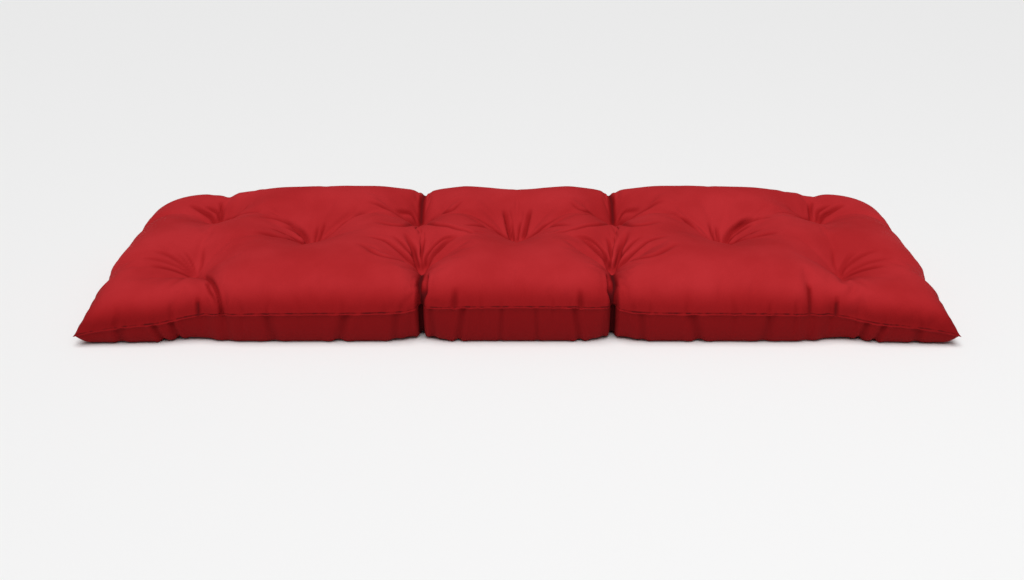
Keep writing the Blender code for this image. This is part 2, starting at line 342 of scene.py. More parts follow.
# Each fold's name, half width, depth, and the places that it runs through, in millimetres.
FOLDS = (
    # broad valleys between neighbouring tufts, and from the outer tufts to the edges
    valley("division", 48, 6, (-188, 112, -169, -104)),
    valley("division_front", 36, 18, (-169, -104, -161, -250)),
    valley("division_back", 34, 3, (-188, 112, -178, 250)),
    valley("section_back", 45, 7, (-385, 28, -188, 112)),
    valley("section_front", 45, 5, (-385, 28, -169, -104)),
    valley("end_back", 45, 7, (-385, 28, -584, 128)),
    valley("end_front", 45, 5, (-385, 28, -570, -116)),
    valley("middle_back", 45, 6, (0, 40, -188, 112)),
    valley("middle_front", 45, 5, (0, 40, -169, -104)),
    valley("end", 50, 3, (-584, 128, -570, -116)),
    valley("end_front_edge", 36, 12, (-570, -116, -500, -250)),
    valley("end_side_front", 36, 3, (-570, -116, -738, -110)),
    valley("end_side_back", 36, 5, (-584, 128, -738, 75)),
    valley("end_back_edge", 36, 2, (-584, 128, -599, 250)),
    valley("front_corner", 100, 27, (-700, -190, -630, -165)),
    # deep folds
    deep_fold(
        "division_front_fold",
        7.8,
        30,
        (-169, -106, -166, -150, -165, -198, -159, -213, -162, -226, -164, -252),
        fade=0.1,
        shade=1.0,
    ),
    deep_fold(
        "division_back_fold", 9, 10, (-188, 116, -188, 150, -187, 180, -179, 252), fade=0.2, shade=0.9
    ),
    deep_fold(
        "end_front_fold",
        12,
        10,
        (-560, -124, -545, -146, -531, -170, -503, -222, -491, -250),
        shade=0.15,
        half=Half.LEFT,
    ),
    deep_fold("end_front_upright", 6.5, 10, (-493, -208, -490, -250), fade=0.1, shade=0.6, half=Half.RIGHT),
    deep_fold("end_front_short", 6, 8, (-537, -226, -535, -250), fade=0.1, shade=0.8),
    # creases that radiate from the outer back tufts
    crease("end_back_left", 6.5, 4, (-590, 130, -600, 139, -614, 142, -629, 146, -645, 151)),
    crease("end_back_left_upper", 5, 2.5, (-586, 136, -590, 150, -604, 154, -617, 154)),
    crease("end_back_edge", 5, 3, (-582, 136, -584, 160, -590, 176)),
    crease("end_back_steep", 5, 2.2, (-576, 132, -552, 122, -536, 122, -526, 137)),
    crease("end_back_right", 5, 2.2, (-572, 128, -545, 110, -521, 98, -504, 90, -491, 86)),
    # creases that radiate from the outer front tufts
    crease("end_front_fan_first", 4.5, 1.3, (-572, -108, -577, -94, -587, -81, -599, -70), shade=0.25),
    crease("end_front_fan_second", 4.5, 1.5, (-574, -110, -583, -99, -595, -88, -609, -80), shade=0.25),
    crease(
        "end_front_fan_third",
        5.5,
        2,
        (-576, -112, -586, -103, -605, -93, -627, -86, -652, -83),
        shade=0.3,
    ),
    crease(
        "end_front_fan_fourth",
        5.5,
        1.4,
        (-577, -115, -588, -108, -613, -104, -637, -103, -665, -103),
        shade=0.25,
    ),
    crease("end_front_low", 6, 1.2, (-578, -118, -590, -117, -617, -118, -646, -121)),
    crease("end_front_up", 4.5, 1.2, (-566, -106, -563, -92, -565, -75, -568, -54), shade=0.25),
    crease("end_front_soft", 10, 1.5, (-572, -125, -575, -165, -581, -190, -600, -215), shade=0.1),
    crease(
        "end_front_line",
        4,
        4.5,
        (-548, -138, -539, -156, -527, -176, -503, -222, -491, -250),
        fade=0.15,
        shade=0.5,
        half=Half.LEFT,
    ),
    crease("end_front_beside", 4, 3, (-528, -190, -520, -212, -511, -224, -500, -240), half=Half.LEFT),
    # creases that radiate from the section tufts
    crease(
        "section_left", 7.5, 5.5, (-392, 32, -404, 48, -419, 56, -437, 62, -465, 61, -486, 50), fade=0.6
    ),
    crease("section_left_inner", 4.5, 3, (-391, 30, -401, 40, -414, 44, -429, 46, -442, 43)),
    crease("section_left_low", 8, 3, (-390, 24, -411, 15, -427, -5, -454, -14, -482, -25)),
    crease("section_left_fine", 4, 1.6, (-395, 30, -432, 19, -447, 15, -462, 11)),
    crease(
        "section_right",
        6.5,
        4.2,
        (-378, 30, -351, 30, -331, 47, -309, 62, -286, 71, -264, 78),
        fade=0.6,
    ),
    crease("section_pleat_left", 4.5, 2.5, (-384, 34, -382, 51, -382, 66)),
    crease("section_pleat_right", 4.5, 2.2, (-378, 34, -370, 55, -367, 70)),
    # creases that radiate from the back tufts of the divisions
    crease("division_back_left", 6.5, 4, (-195, 114, -221, 104, -244, 100, -266, 101, -289, 101), fade=0.6),
    crease("division_back_left_upper", 4.5, 2.2, (-195, 120, -205, 128, -220, 122, -238, 113)),
    crease("division_back_left_low", 8, 2.8, (-192, 106, -198, 60, -206, 10, -233, -4, -269, 12)),
    crease("division_back_right", 5, 2.5, (-181, 112, -151, 109, -127, 97, -104, 111)),
    crease("division_back_right_low", 5, 2.2, (-181, 108, -155, 95, -125, 60, -102, 57)),
    crease("division_back_front", 6, 2.5, (-184, 100, -160, 20, -120, -15, -88, -28, -53, -40)),
    # creases that radiate from the front tufts of the divisions
    crease(
        "division_front_middle", 7, 5, (-172, -98, -182, -79, -186, -63, -194, -47, -205, -23), fade=0.6
    ),
    crease("division_front_middle_fine", 5, 2, (-168, -96, -172, -70, -171, -50, -168, -30)),
    crease(
        "division_front_right",
        7.5,
        5.5,
        (-164, -98, -154, -80, -138, -69, -126, -56, -108, -41),
        fade=0.6,
    ),
    crease("division_front_right_upper", 5, 2.8, (-164, -94, -162, -72, -145, -55, -128, -46, -104, -44)),
    crease(
        "division_front_left_low",
        8,
        3.5,
        (-178, -108, -196, -128, -220, -142, -240, -140, -262, -122, -283, -103),
        fade=0.6,
    ),
    crease("division_front_left", 6, 3.2, (-176, -100, -206, -84, -220, -76, -238, -66, -270, -66)),
    crease("division_front_left_upper", 4.5, 1.8, (-174, -96, -203, -64, -215, -54, -230, -46)),
    # pleats and creases of the middle tuft
    crease("middle_pleat", 6, 6, (-10, 46, -14, 60, -18, 75, -24, 105), fade=0.4),
    crease("middle_pleat_inner", 3.5, 1.5, (-5, 46, -8, 68, -10, 83)),
    crease("middle_fan_upper", 5, 3, (-14, 42, -33, 46, -56, 54, -79, 62)),
    crease("middle_fan", 5.5, 3, (-14, 40, -47, 36, -73, 16, -99, -5)),
    crease("middle_fan_low", 6, 2.8, (-12, 36, -31, 10, -53, -12, -82, -24)),
    crease("middle_base", 5, 4, (0, 36, -18, 37)),
    # small folds of the front
    crease("division_front_second", 4.5, 5, (-154, -222, -155, -208, -154, -190, -156, -172)),
    crease("front_dent", 8, 1.4, (-107, -250, -104, -236, -102, -222)),
)


@dataclass(frozen=True)
class WallFold:
    """An upright fold of the lower panel's standing front and back, found on both halves.

    It runs from seam_place at the seam to floor_place at the floor, both measured from the
    middle of the length. On the right half it lies further out by right_shift. shade is how
    much shade is painted inside it.
    """

    seam_place: float
    floor_place: float
    half_width: float
    depth: float
    shade: float = 0.10
    right_shift: float = 0.006


# Distances from the middle of the length.
FRONT_DIVISION = 0.163
BACK_DIVISION = 0.178
OUTER_FOLD = 0.493

WALL_FOLDS = (
    WallFold(FRONT_DIVISION, FRONT_DIVISION, 0.0062, 0.0030, shade=0.50, right_shift=0.0),
    WallFold(0.025, 0.029, 0.0060, 0.0008),
    WallFold(0.090, 0.101, 0.0075, 0.0036),
    WallFold(0.147, 0.143, 0.0080, 0.0012),
    WallFold(0.203, 0.209, 0.0100, 0.0016),
    WallFold(0.288, 0.305, 0.0120, 0.0034),
    WallFold(0.420, 0.414, 0.0140, 0.0014),
    WallFold(0.584, 0.578, 0.0065, 0.0038),
    WallFold(0.612, 0.602, 0.0065, 0.0038),
    WallFold(0.668, 0.674, 0.0120, 0.0018),
)
# Where the front seam puckers, as distances from the middle.
FRONT_PUCKERS = (
    0.025, 0.059, 0.078, 0.107, 0.194, 0.222, 0.293, 0.365,
    0.420, 0.461, 0.493, 0.534, 0.582, 0.610, 0.676,
)

FRONT_NOTCHES = (
    Notch(FRONT_DIVISION, 0.010, 0.026),
    Notch(0.165, 0.042, 0.008),
    Notch(0.527, 0.014, 0.004),
    Notch(OUTER_FOLD, 0.014, 0.006),
    Notch(0.555, 0.070, 0.010),
)
BACK_NOTCHES = (
    Notch(BACK_DIVISION, 0.012, 0.008),
    Notch(0.180, 0.042, 0.005),
    Notch(0.595, 0.060, 0.005),
)
END_NOTCHES = (
    Notch(-0.118, 0.046, 0.009),
    Notch(0.072, 0.042, 0.006),
)
# Distance from the middle and height of the front seam, which sags beside each tuft.
FRONT_SEAM = (
    (0.000, 0.0700),
    (0.100, 0.0695),
    (0.150, 0.0670),
    (0.165, 0.0640),
    (0.185, 0.0600),
    (0.250, 0.0575),
    (0.450, 0.0565),
    (0.500, 0.0555),
    (0.530, 0.0530),
    (0.555, 0.0485),
    (0.580, 0.0430),
    (0.605, 0.0395),
    (0.660, 0.0355),
    (0.715, 0.0275),
    (0.750, 0.0200),
)
# Distance from the middle, and how much lower the back of the crown is there.
CROWN_TRIM = (
    (0.000, 0.004),
    (0.050, 0.001),
    (0.100, 0.000),
    (0.350, 0.001),
    (0.450, 0.004),
    (0.520, 0.007),
    (0.600, 0.009),
    (0.750, 0.009),
)
LIFT_NOTCHES = (
    Notch(0.166, 0.060, 0.034),
    Notch(0.560, 0.060, 0.018),
)


def smooth_path(points: tuple[tuple[float, float], ...], steps: int = 6) -> Array:
    """Round a path of a few points into many, by a Catmull-Rom curve through them.

    Args:
        points: the points that the path runs through, in plan.
        steps: how many short runs replace each run between two points.

    Returns:
        One row of two coordinates for each point of the smooth path.
    """
    known = np.asarray(points, dtype=np.float64)
    if len(known) == 2:
        shares = np.linspace(0.0, 1.0, steps + 1)[:, None]
        return known[0] * (1.0 - shares) + known[1] * shares
    padded = np.vstack([2 * known[0] - known[1], known, 2 * known[-1] - known[-2]])
    pieces = []
    for index in range(1, len(padded) - 2):
        before, start, end, after = padded[index - 1 : index + 3]
        share = np.linspace(0.0, 1.0, steps, endpoint=False)[:, None]
        pieces.append(
            0.5
            * (
                2 * start
                + (end - before) * share
                + (2 * before - 5 * start + 4 * end - after) * share**2
                + (3 * start - before - 3 * end + after) * share**3
            )
        )
    pieces.append(known[-1:])
    return np.vstack(pieces)


def path_distance(path: Array, places: Array) -> tuple[Array, Array]:
    """Measure how far places lie from a path in plan.

    Args:
        path: the path's points, one row each.
        places: the places, one row each.

    Returns:
        The distance, and how far along the path's length the nearest point lies, from 0 to 1,
        for each place.
    """
    runs = path[1:] - path[:-1]
    lengths = np.maximum(np.hypot(runs[:, 0], runs[:, 1]), TINY)
    starts = np.concatenate([[0.0], np.cumsum(lengths)])
    best = np.full(len(places), FAR)
    along = np.zeros(len(places))
    for index, run in enumerate(runs):
        offset = places - path[index]
        unit = run / lengths[index]
        forward = offset @ unit
        across = offset[:, 0] * unit[1] - offset[:, 1] * unit[0]
        held = np.clip(forward, 0.0, lengths[index])
        distance = np.hypot(across, forward - held)
        nearer = distance < best
        best = np.where(nearer, distance, best)
        along = np.where(nearer, (starts[index] + held) / starts[-1], along)
    return best, along


@dataclass
class PadForm:
    """The outer form of the filled pad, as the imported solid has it."""

    length: float = 1.500
    depth: float = 0.500
    # the crown's height at the front and at the back, and how it rises between them
    crown_front: float = 0.124
    crown_back: float = 0.165
    crown_power: float = 1.7
    # the seam's height, away from the corners and at them, and the sewn edge
    seam_level: float = 0.065
    seam_corner_level: float = 0.019
    seam_length_power: float = 4.5
    seam_depth_power: float = 2.6
    seam_front_power: int = 3
    seam_flange: float = 0.004
    seam_thickness: float = 0.0024
    # how far from the edges the cloth is rounded, above and below
    shoulder_long: float = 0.096
    shoulder_end: float = 0.180
    belly: float = 0.020
    # how far the edges draw in between the corners, and how that fades towards the middle
    long_edge_draw: float = 0.007
    long_edge_power: int = 3
    long_edge_reach_power: int = 4
    end_edge_draw: float = 0.014
    end_edge_power: int = 2
    end_edge_reach_power: int = 10
    # the tufts' dimples, above and below
    dimple_power: float = 1.6
    dimple_blend: float = 3.0
    least_pull: float = 1e-12
    tuft_under: float = 0.030
    dimple_under: float = 0.030
    dimple_limit: float = 0.075

    @property
    def tufts(self) -> list[Tuft]:
        """List all eleven tufts.

        Returns:
            The middle tuft, and each of the others on both halves.
        """
        places = [MIDDLE_TUFT]
        for tuft in LEFT_TUFTS:
            places.append(replace(tuft, name="left_" + tuft.name))
            places.append(replace(tuft, name="right_" + tuft.name, x=-tuft.x))
        return places

    def notch_pull(self, place: Array, notches: tuple[Notch, ...], mirrored: bool) -> Array:
        """Return how far the notches pull the edge in at each place along it.

        Args:
            place: distances along the edge from its middle.
            notches: the notches of that edge.
            mirrored: whether each notch stands on both sides of the middle.

        Returns:
            The pull at each place.
        """
        pull = np.zeros_like(place)
        for notch in notches:
            distance = np.abs(place) - notch.place if mirrored else place - notch.place
            pull += notch.pull * bump(distance, notch.half_width)
        return pull

    def plan(self, panel: Array) -> Array:
        """Work out where points of the flat panel lie in plan once the pad is filled.

        Args:
            panel: the points on the flat panel, one row each.

        Returns:
            Their places in plan, one row each.
        """
        px, py = panel[:, 0], panel[:, 1]
        across = np.abs(px / (0.5 * self.length))
        along = np.abs(py / (0.5 * self.depth))
        long_draw = self.long_edge_draw * (1.0 - across**self.long_edge_power)
        front = self.notch_pull(px, FRONT_NOTCHES, True)
        back = self.notch_pull(px, BACK_NOTCHES, True)
        long_draw += np.where(py < 0.0, front, back)
        end_draw = self.end_edge_draw * (1.0 - along**self.end_edge_power)
        end_draw += self.notch_pull(py, END_NOTCHES, False)
        x = px - np.sign(px) * end_draw * across**self.end_edge_reach_power
        y = py - np.sign(py) * long_draw * along**self.long_edge_reach_power
        return np.stack([x, y], axis=1)

    def seam(self, panel: Array) -> Array:
        """Work out the height of the seam beside each panel point.

        Args:
            panel: the points on the flat panel, one row each.

        Returns:
            The seam's height for each point.
        """
        across = np.abs(panel[:, 0]) / (0.5 * self.length)
        along = np.abs(panel[:, 1]) / (0.5 * self.depth)
        corner = across**self.seam_length_power * along**self.seam_depth_power
        level = self.seam_level - (self.seam_level - self.seam_corner_level) * corner
        front = np.interp(np.abs(panel[:, 0]), *zip(*FRONT_SEAM))
        frontness = np.clip(-panel[:, 1] / (0.5 * self.depth), 0.0, 1.0)
        return level + (front - level) * frontness**self.seam_front_power

    def edge_distances(self, panel: Array) -> tuple[Array, Array]:
        """Measure how far panel points lie inside the sewn edge.

        Args:
            panel: the points on the flat panel, one row each.

        Returns:
            The distance from the ends, along X, and from the long edges, along Y.
        """
        end = 0.5 * self.length - self.seam_flange - np.abs(panel[:, 0])
        long = 0.5 * self.depth - self.seam_flange - np.abs(panel[:, 1])
        return end, long

    def on_flange(self, panel: Array, margin: float) -> Array:
        """Tell which panel points lie outside the sewn edge, or less than margin inside it."""
        end, long = self.edge_distances(panel)
        return (end < margin) | (long < margin)

    def tuft_pull(self, plan: Array) -> tuple[Array, Array]:
        """Work out how the tufts pull the top panel down.

        Args:
            plan: places in plan.

        Returns:
            How strongly the tufts pull, 1 on a tuft and 0 far from all, and the height that
            they pull towards.
        """
        total = np.zeros(len(plan))
        heights = np.zeros(len(plan))
        for tuft in self.tufts:
            aside = (plan[:, 0] - tuft.x) / tuft.reach_side
            forward = plan[:, 1] - tuft.y
            forward = forward / np.where(forward < 0.0, tuft.reach_front, tuft.reach_back)
            near = np.clip(1.0 - np.hypot(aside, forward), 0.0, 1.0)
            pull = near ** (self.dimple_blend * self.dimple_power)
            total += pull
            heights += pull * tuft.height
        strength = np.minimum(1.0, total ** (1.0 / self.dimple_blend))
        return strength, heights / np.maximum(total, self.least_pull)

    def fold_drop(self, plan: Array) -> Array:
        """Work out how far the valleys and deep folds sink the top panel.

        Args:
            plan: places in plan.

        Returns:
            The drop at each place.
        """
        drop = np.zeros(len(plan))
        for fold in FOLDS:
            if fold.kind is not FoldKind.CREASE:
                drop += fold.depth * bump(fold.distance(plan), fold.half_width)
        return drop

    def top(self, panel: Array, plan: Array, room: float = 0.0) -> Array:
        """Work out the height of the top panel.

        Args:
            panel: places on the flat panel.
            plan: the same places in plan, on the filled pad.
            room: how much lower the crown is, as room for the swelling.

        Returns:
            The height at each place.
        """
        seam = self.seam(panel)
        root = seam + 0.5 * self.seam_thickness
        end, long = self.edge_distances(panel)
        back_share = np.clip(panel[:, 1] / self.depth + 0.5, 0.0, 1.0)
        rise = back_share**self.crown_power
        trim = np.interp(np.abs(panel[:, 0]), *zip(*CROWN_TRIM))
        crown = self.crown_front + (self.crown_back - self.crown_front - trim) * rise - room
        swell = rounded(end, self.shoulder_end) * rounded(long, self.shoulder_long)
        height = root + (crown - root) * swell
        pull, floor = self.tuft_pull(plan)
        height -= np.maximum(height - floor, 0.0) * pull
        above = np.maximum(height - root, 0.0)
        drop = self.fold_drop(plan) * swell
        sunk = root + above**2 / np.maximum(above + drop, TINY)
        height = np.where(drop > 0.0, sunk, height)
        return np.where(self.on_flange(panel, -TOLERANCE), seam, height)

    def bottom(self, panel: Array, plan: Array) -> Array:
        """Work out the height of the bottom panel, flat except at the edges and the tufts.

        Args:
            panel: places on the flat panel.
            plan: the same places in plan, on the filled pad.

        Returns:
            The height at each place.
        """
        seam = self.seam(panel)
        root = seam - 0.5 * self.seam_thickness
        end, long = self.edge_distances(panel)
        swell = rounded(end, self.belly) * rounded(long, self.belly)
        height = root * (1.0 - swell)
        rim = np.clip(1.0 - long / (2.0 * self.belly), 0.0, 1.0)
        height += self.notch_pull(panel[:, 0], LIFT_NOTCHES, True) * rim**2 * swell
        nearest = np.full(len(plan), FAR)
        for tuft in self.tufts:
            nearest = np.minimum(nearest, tuft.distance(plan))
        pull = np.exp(-nearest / self.dimple_under) * bump(nearest, self.dimple_limit)
        height += (self.tuft_under - height) * pull
        return np.where(self.on_flange(panel, -TOLERANCE), seam, height)


# ---------------------------------------------------------------- finishes
class Shader:
    """A node material under construction.

    Each method that adds a node gives one of its outputs. An input gets another node's output,
    a number or a colour.
    """

    def __init__(self, name: str) -> None:
        """Start a material with an empty Principled shader.

        Args:
            name: the material's name.
        """
        self.material = bpy.data.materials.new(name)
        self.material.use_nodes = True
        self.tree = self.material.node_tree

    def feed(self, node: bpy.types.Node, inputs: dict[str | int, Source]) -> None:
        """Fill a node's input sockets.

        Args:
            node: the node.
            inputs: what its sockets get, by their names or numbers.
        """
        for key, source in inputs.items():
            if isinstance(source, Socket):
                self.tree.links.new(source, node.inputs[key])
            else:
                constant = (*source, 1.0) if isinstance(source, tuple) else source
                node.inputs[key].default_value = constant

    def node(
        self, kind: str, output: str, inputs: dict[str | int, Source], **settings: object
    ) -> Socket:
        """Add a node.

        Args:
            kind: the node's type name.
            output: the name of the output that is wanted.
            inputs: what its input sockets get, by their names or numbers.
            settings: its own properties.

        Returns:
            The output.
        """
        made = self.tree.nodes.new(kind)
        for key, value in settings.items():
            setattr(made, key, value)
        self.feed(made, inputs)
        return made.outputs[output]

    def finish(self, inputs: dict[str, Source]) -> bpy.types.Material:
        """Fill the Principled shader's sockets and return the finished material."""
        self.feed(self.tree.nodes["Principled BSDF"], inputs)
        return self.material

    def object_places(self) -> Socket:
        """Give the piece's own coordinates."""
        return self.node("ShaderNodeTexCoord", "Object", {})

    def attribute(self, name: str) -> Socket:
        """Give a number that is stored on the mesh."""
        return self.node("ShaderNodeAttribute", "Fac", {}, attribute_name=name)

    def calculate(self, operation: str, *values: Source, clamp: bool = False) -> Socket:
        """Calculate with numbers, and keep the result from 0 to 1 if clamp is set."""
        settings = {"operation": operation, "use_clamp": clamp}
        return self.node("ShaderNodeMath", "Value", dict(enumerate(values)), **settings)

    def mix(self, factor: Source, first: Source, second: Source, blend: str = "MIX") -> Socket:
        """Mix two colours, with factor as the share of the second one."""
        inputs = {"Factor": factor, "A": first, "B": second}
        return self.node("ShaderNodeMix", "Result", inputs, data_type="RGBA", blend_type=blend)

    def noise(self, scale: float, detail: float, roughness: float) -> Socket:
        """Make soft random patches, scale of them in a metre, with finer ones in them."""
        inputs = {"Scale": scale, "Detail": detail, "Roughness": roughness}
        return self.node("ShaderNodeTexNoise", "Fac", {"Vector": self.object_places(), **inputs})

    def bands(self, pitch: float, direction: str, inputs: dict[str, Source]) -> Socket:
        """Make even bands that repeat at a pitch in metres."""
        inputs = {"Scale": math.tau / pitch / WAVE_RADIANS, **inputs}
        return self.node("ShaderNodeTexWave", "Fac", inputs, bands_direction=direction)

    def ramp(
        self, value: Socket, low: Colour, high: Colour, span: tuple[float, float] = (0.0, 1.0)
    ) -> Socket:
        """Turn a value into a colour between two.

        Args:
            value: the value.
            low: the colour at the span's start.
            high: the colour at the span's end.
            span: the values at which the two colours stand.

        Returns:
            The colour.
        """
        made = self.tree.nodes.new("ShaderNodeValToRGB")
        self.feed(made, {"Fac": value})
        for element, place, colour in zip(made.color_ramp.elements, span, (low, high)):
            element.position = place
            element.color = (*colour, 1.0)
        return made.outputs["Color"]

    def raised(self, height: Socket, strength: float, depth: float, **below: Socket) -> Socket:
        """Make a height from 0 to depth show as fine relief, on the Normal below it if any."""
        inputs = {"Height": height, "Strength": strength, "Distance": depth, **below}
        return self.node("ShaderNodeBump", "Normal", inputs)


@dataclass(frozen=True)
class WovenCloth:
    """Dyed plain-woven cotton: a fine weave, faint sheen, colour that varies a little, and painted shade.
    """

    name: str = "red_woven_cloth"
    light: Colour = (0.500, 0.0225, 0.0275)
    dark: Colour = (0.430, 0.0150, 0.0185)
    # the colours of painted shade: a deeper red where shade is painted, and near black in the darkest folds
    deep: Colour = (0.440, 0.0050, 0.0070)
    painted_shade_colour: Colour = (0.07, 0.001, 0.002)
    shade_deepening: float = 1.5
    roughness: float = 0.86
    specular: float = 0.12
    patches: tuple[float, float, float] = (9.0, 3.0, 0.5)
    patch_span: tuple[float, float] = (0.34, 0.66)
    thread_pitch: float = 0.0009
    thread_contrast: float = 0.16
    thread_unevenness: float = 0.6
    thread_detail: float = 1.0
    thread_detail_scale: float = 0.35
    weave_depth: float = 0.00005
    weave_strength: float = 0.7
    crumple_size: float = 0.011
    crumple_depth: float = 0.0004
    crumple_strength: float = 0.5
    crumple_detail: tuple[float, float] = (4.0, 0.55)
    # the thin painted shadow line along the seam: its width, its sharp core, its strength and its breaks
    seam_width: float = 0.0028
    seam_core: float = 0.3
    seam_shadow: float = 0.95
    seam_faintest: float = 0.60
    seam_breaks: tuple[float, float, float] = (70.0, 2.0, 0.6)
    seam_break_span: tuple[float, float] = (0.35, 0.60)

    def material(self) -> bpy.types.Material:
        """Build the cloth's material, which reads the panel's own UV map in metres.

        Returns:
            The material.
        """
        shader = Shader(self.name)
        weave = self.weave(shader)
        dyed = shader.ramp(shader.noise(*self.patches), self.dark, self.light, self.patch_span)
        threads = shader.mix(self.thread_contrast, dyed, weave, "MULTIPLY")
        # painted shade turns the dyed colour deeper red and then near black
        painted_shade = self.painted_shade(shader)
        deeper = shader.calculate("MULTIPLY", painted_shade, self.shade_deepening, clamp=True)
        deep = shader.mix(deeper, threads, self.deep)
        crumples = shader.noise(1.0 / self.crumple_size, *self.crumple_detail)
        soft = shader.raised(crumples, self.crumple_strength, self.crumple_depth)
        fine = shader.raised(weave, self.weave_strength, self.weave_depth, Normal=soft)
        return shader.finish(
            {
                "Base Color": shader.mix(painted_shade, deep, self.painted_shade_colour),
                "Normal": fine,
                "Roughness": self.roughness,
                "Specular IOR Level": self.specular,
            }
        )

    def painted_shade(self, shader: Shader) -> Socket:
        """Build the painted shade of the cloth: that stored on the mesh, and a thin shadow line along the
        seam.

        Args:
            shader: the material under construction.

        Returns:
            How much shade is painted, from 0 to 1.
        """
        line = {
            "Value": shader.calculate("ABSOLUTE", shader.attribute("from_seam")),
            "From Min": self.seam_width,
            "From Max": self.seam_core * self.seam_width,
        }
        strength = {
            "Value": shader.noise(*self.seam_breaks),
            "From Min": self.seam_break_span[0],
            "From Max": self.seam_break_span[1],
            "To Min": self.seam_faintest * self.seam_shadow,
            "To Max": self.seam_shadow,
        }
        seam = shader.calculate(
            "MULTIPLY",
            shader.node("ShaderNodeMapRange", "Result", line, interpolation_type="SMOOTHSTEP"),
            shader.node("ShaderNodeMapRange", "Result", strength),
        )
        # painted shade from the mesh, or the painted shadow line of the seam, whichever is darker
        return shader.calculate("MAXIMUM", shader.attribute("fold"), seam)

    def weave(self, shader: Shader) -> Socket:
        """Build the plain weave: two crossed sets of threads.

        Args:
            shader: the material under construction.

        Returns:
            The weave's height, from 0 to 1.
        """
        inputs = {
            "Vector": shader.node("ShaderNodeUVMap", "UV", {}, uv_map="cloth"),
            "Distortion": self.thread_unevenness,
            "Detail": self.thread_detail,
            "Detail Scale": self.thread_detail_scale,
        }
        sets = [shader.bands(self.thread_pitch, direction, inputs) for direction in ("X", "Y")]
        return shader.calculate("MULTIPLY", *sets)


@dataclass(frozen=True)
class SewingThread:
    """Twisted red thread, a little darker and glossier than the cloth."""

    name: str = "red_thread"
    colour: Colour = (0.30, 0.010, 0.016)
    # the share of the colour left in the twist's grooves, as painted shade
    groove_shade_share: float = 0.7
    roughness: float = 0.6
    specular: float = 0.3
    twist_pitch: float = 0.0008
    twist_depth: float = 0.0001
    twist_strength: float = 0.6

    def material(self) -> bpy.types.Material:
        """Build the thread's material: its twist as fine slanted bands, with painted shade in the grooves.

        Returns:
            The material.
        """
        shader = Shader(self.name)
        twist = shader.bands(self.twist_pitch, "DIAGONAL", {"Vector": shader.object_places()})
        # painted shade in the grooves of the twist
        groove_shade = tuple(self.groove_shade_share * part for part in self.colour)
        return shader.finish(
            {
                "Base Color": shader.ramp(twist, groove_shade, self.colour),
                "Normal": shader.raised(twist, self.twist_strength, self.twist_depth),
                "Roughness": self.roughness,
                "Specular IOR Level": self.specular,
            }
        )


@dataclass(frozen=True)
class PaleFloor:
    """Plain matt studio floor."""

    name: str = "pale_floor"
    colour: Colour = (0.88, 0.88, 0.88)
    roughness: float = 0.9
    specular: float = 0.1

    def material(self) -> bpy.types.Material:
        """Build the floor's plain material."""
        inputs = {"Roughness": self.roughness, "Specular IOR Level": self.specular}
        return Shader(self.name).finish({"Base Color": self.colour, **inputs})


# ---------------------------------------------------------------- the sewn cover
class Edge(enum.Enum):
    """One sewn edge of the pad."""

    FRONT = "front"
    BACK = "back"
    LEFT = "left"
    RIGHT = "right"


@dataclass(frozen=True)
class Pucker:
    """A small dent across the seam, at a place along its edge, which may run slanted."""

    edge: Edge
    place: float
    half_width: float
    depth: float
    slant: float


@dataclass
class Relief:
    """What is pressed into the cloth: how far each vertex moves out, and how much painted shade it gets.

    own and side are the vertex's place on the flat panel: side is 1 on the top panel, -1 on the
    bottom panel and 0 on the seam.
    """

    places: Array
    normals: Array
    own: Array
    side: Array
    shift: Array
    shade: Array

    @classmethod
    def of(cls, mesh: Mesh) -> "Relief":
        """Start with a mesh as it is.

        Args:
            mesh: the cover's mesh.

        Returns:
            The relief, with no shift and no shade.
        """
        panel = point_vector(mesh, "panel")
        shift, shade = np.zeros(len(panel)), np.zeros(len(panel))
        places, normals = vertex_places(mesh), vertex_normals(mesh)
        return cls(places, normals, panel[:, :2], panel[:, 2], shift, shade)

    def darken(self, shade: Array) -> None:
        """Make the cloth's painted shade at least as dark as shade."""
        self.shade = np.maximum(self.shade, shade)

    def shifted(self) -> Array:
        """Return where the shifts move the vertices."""
        return self.places + self.normals * self.shift[:, None]


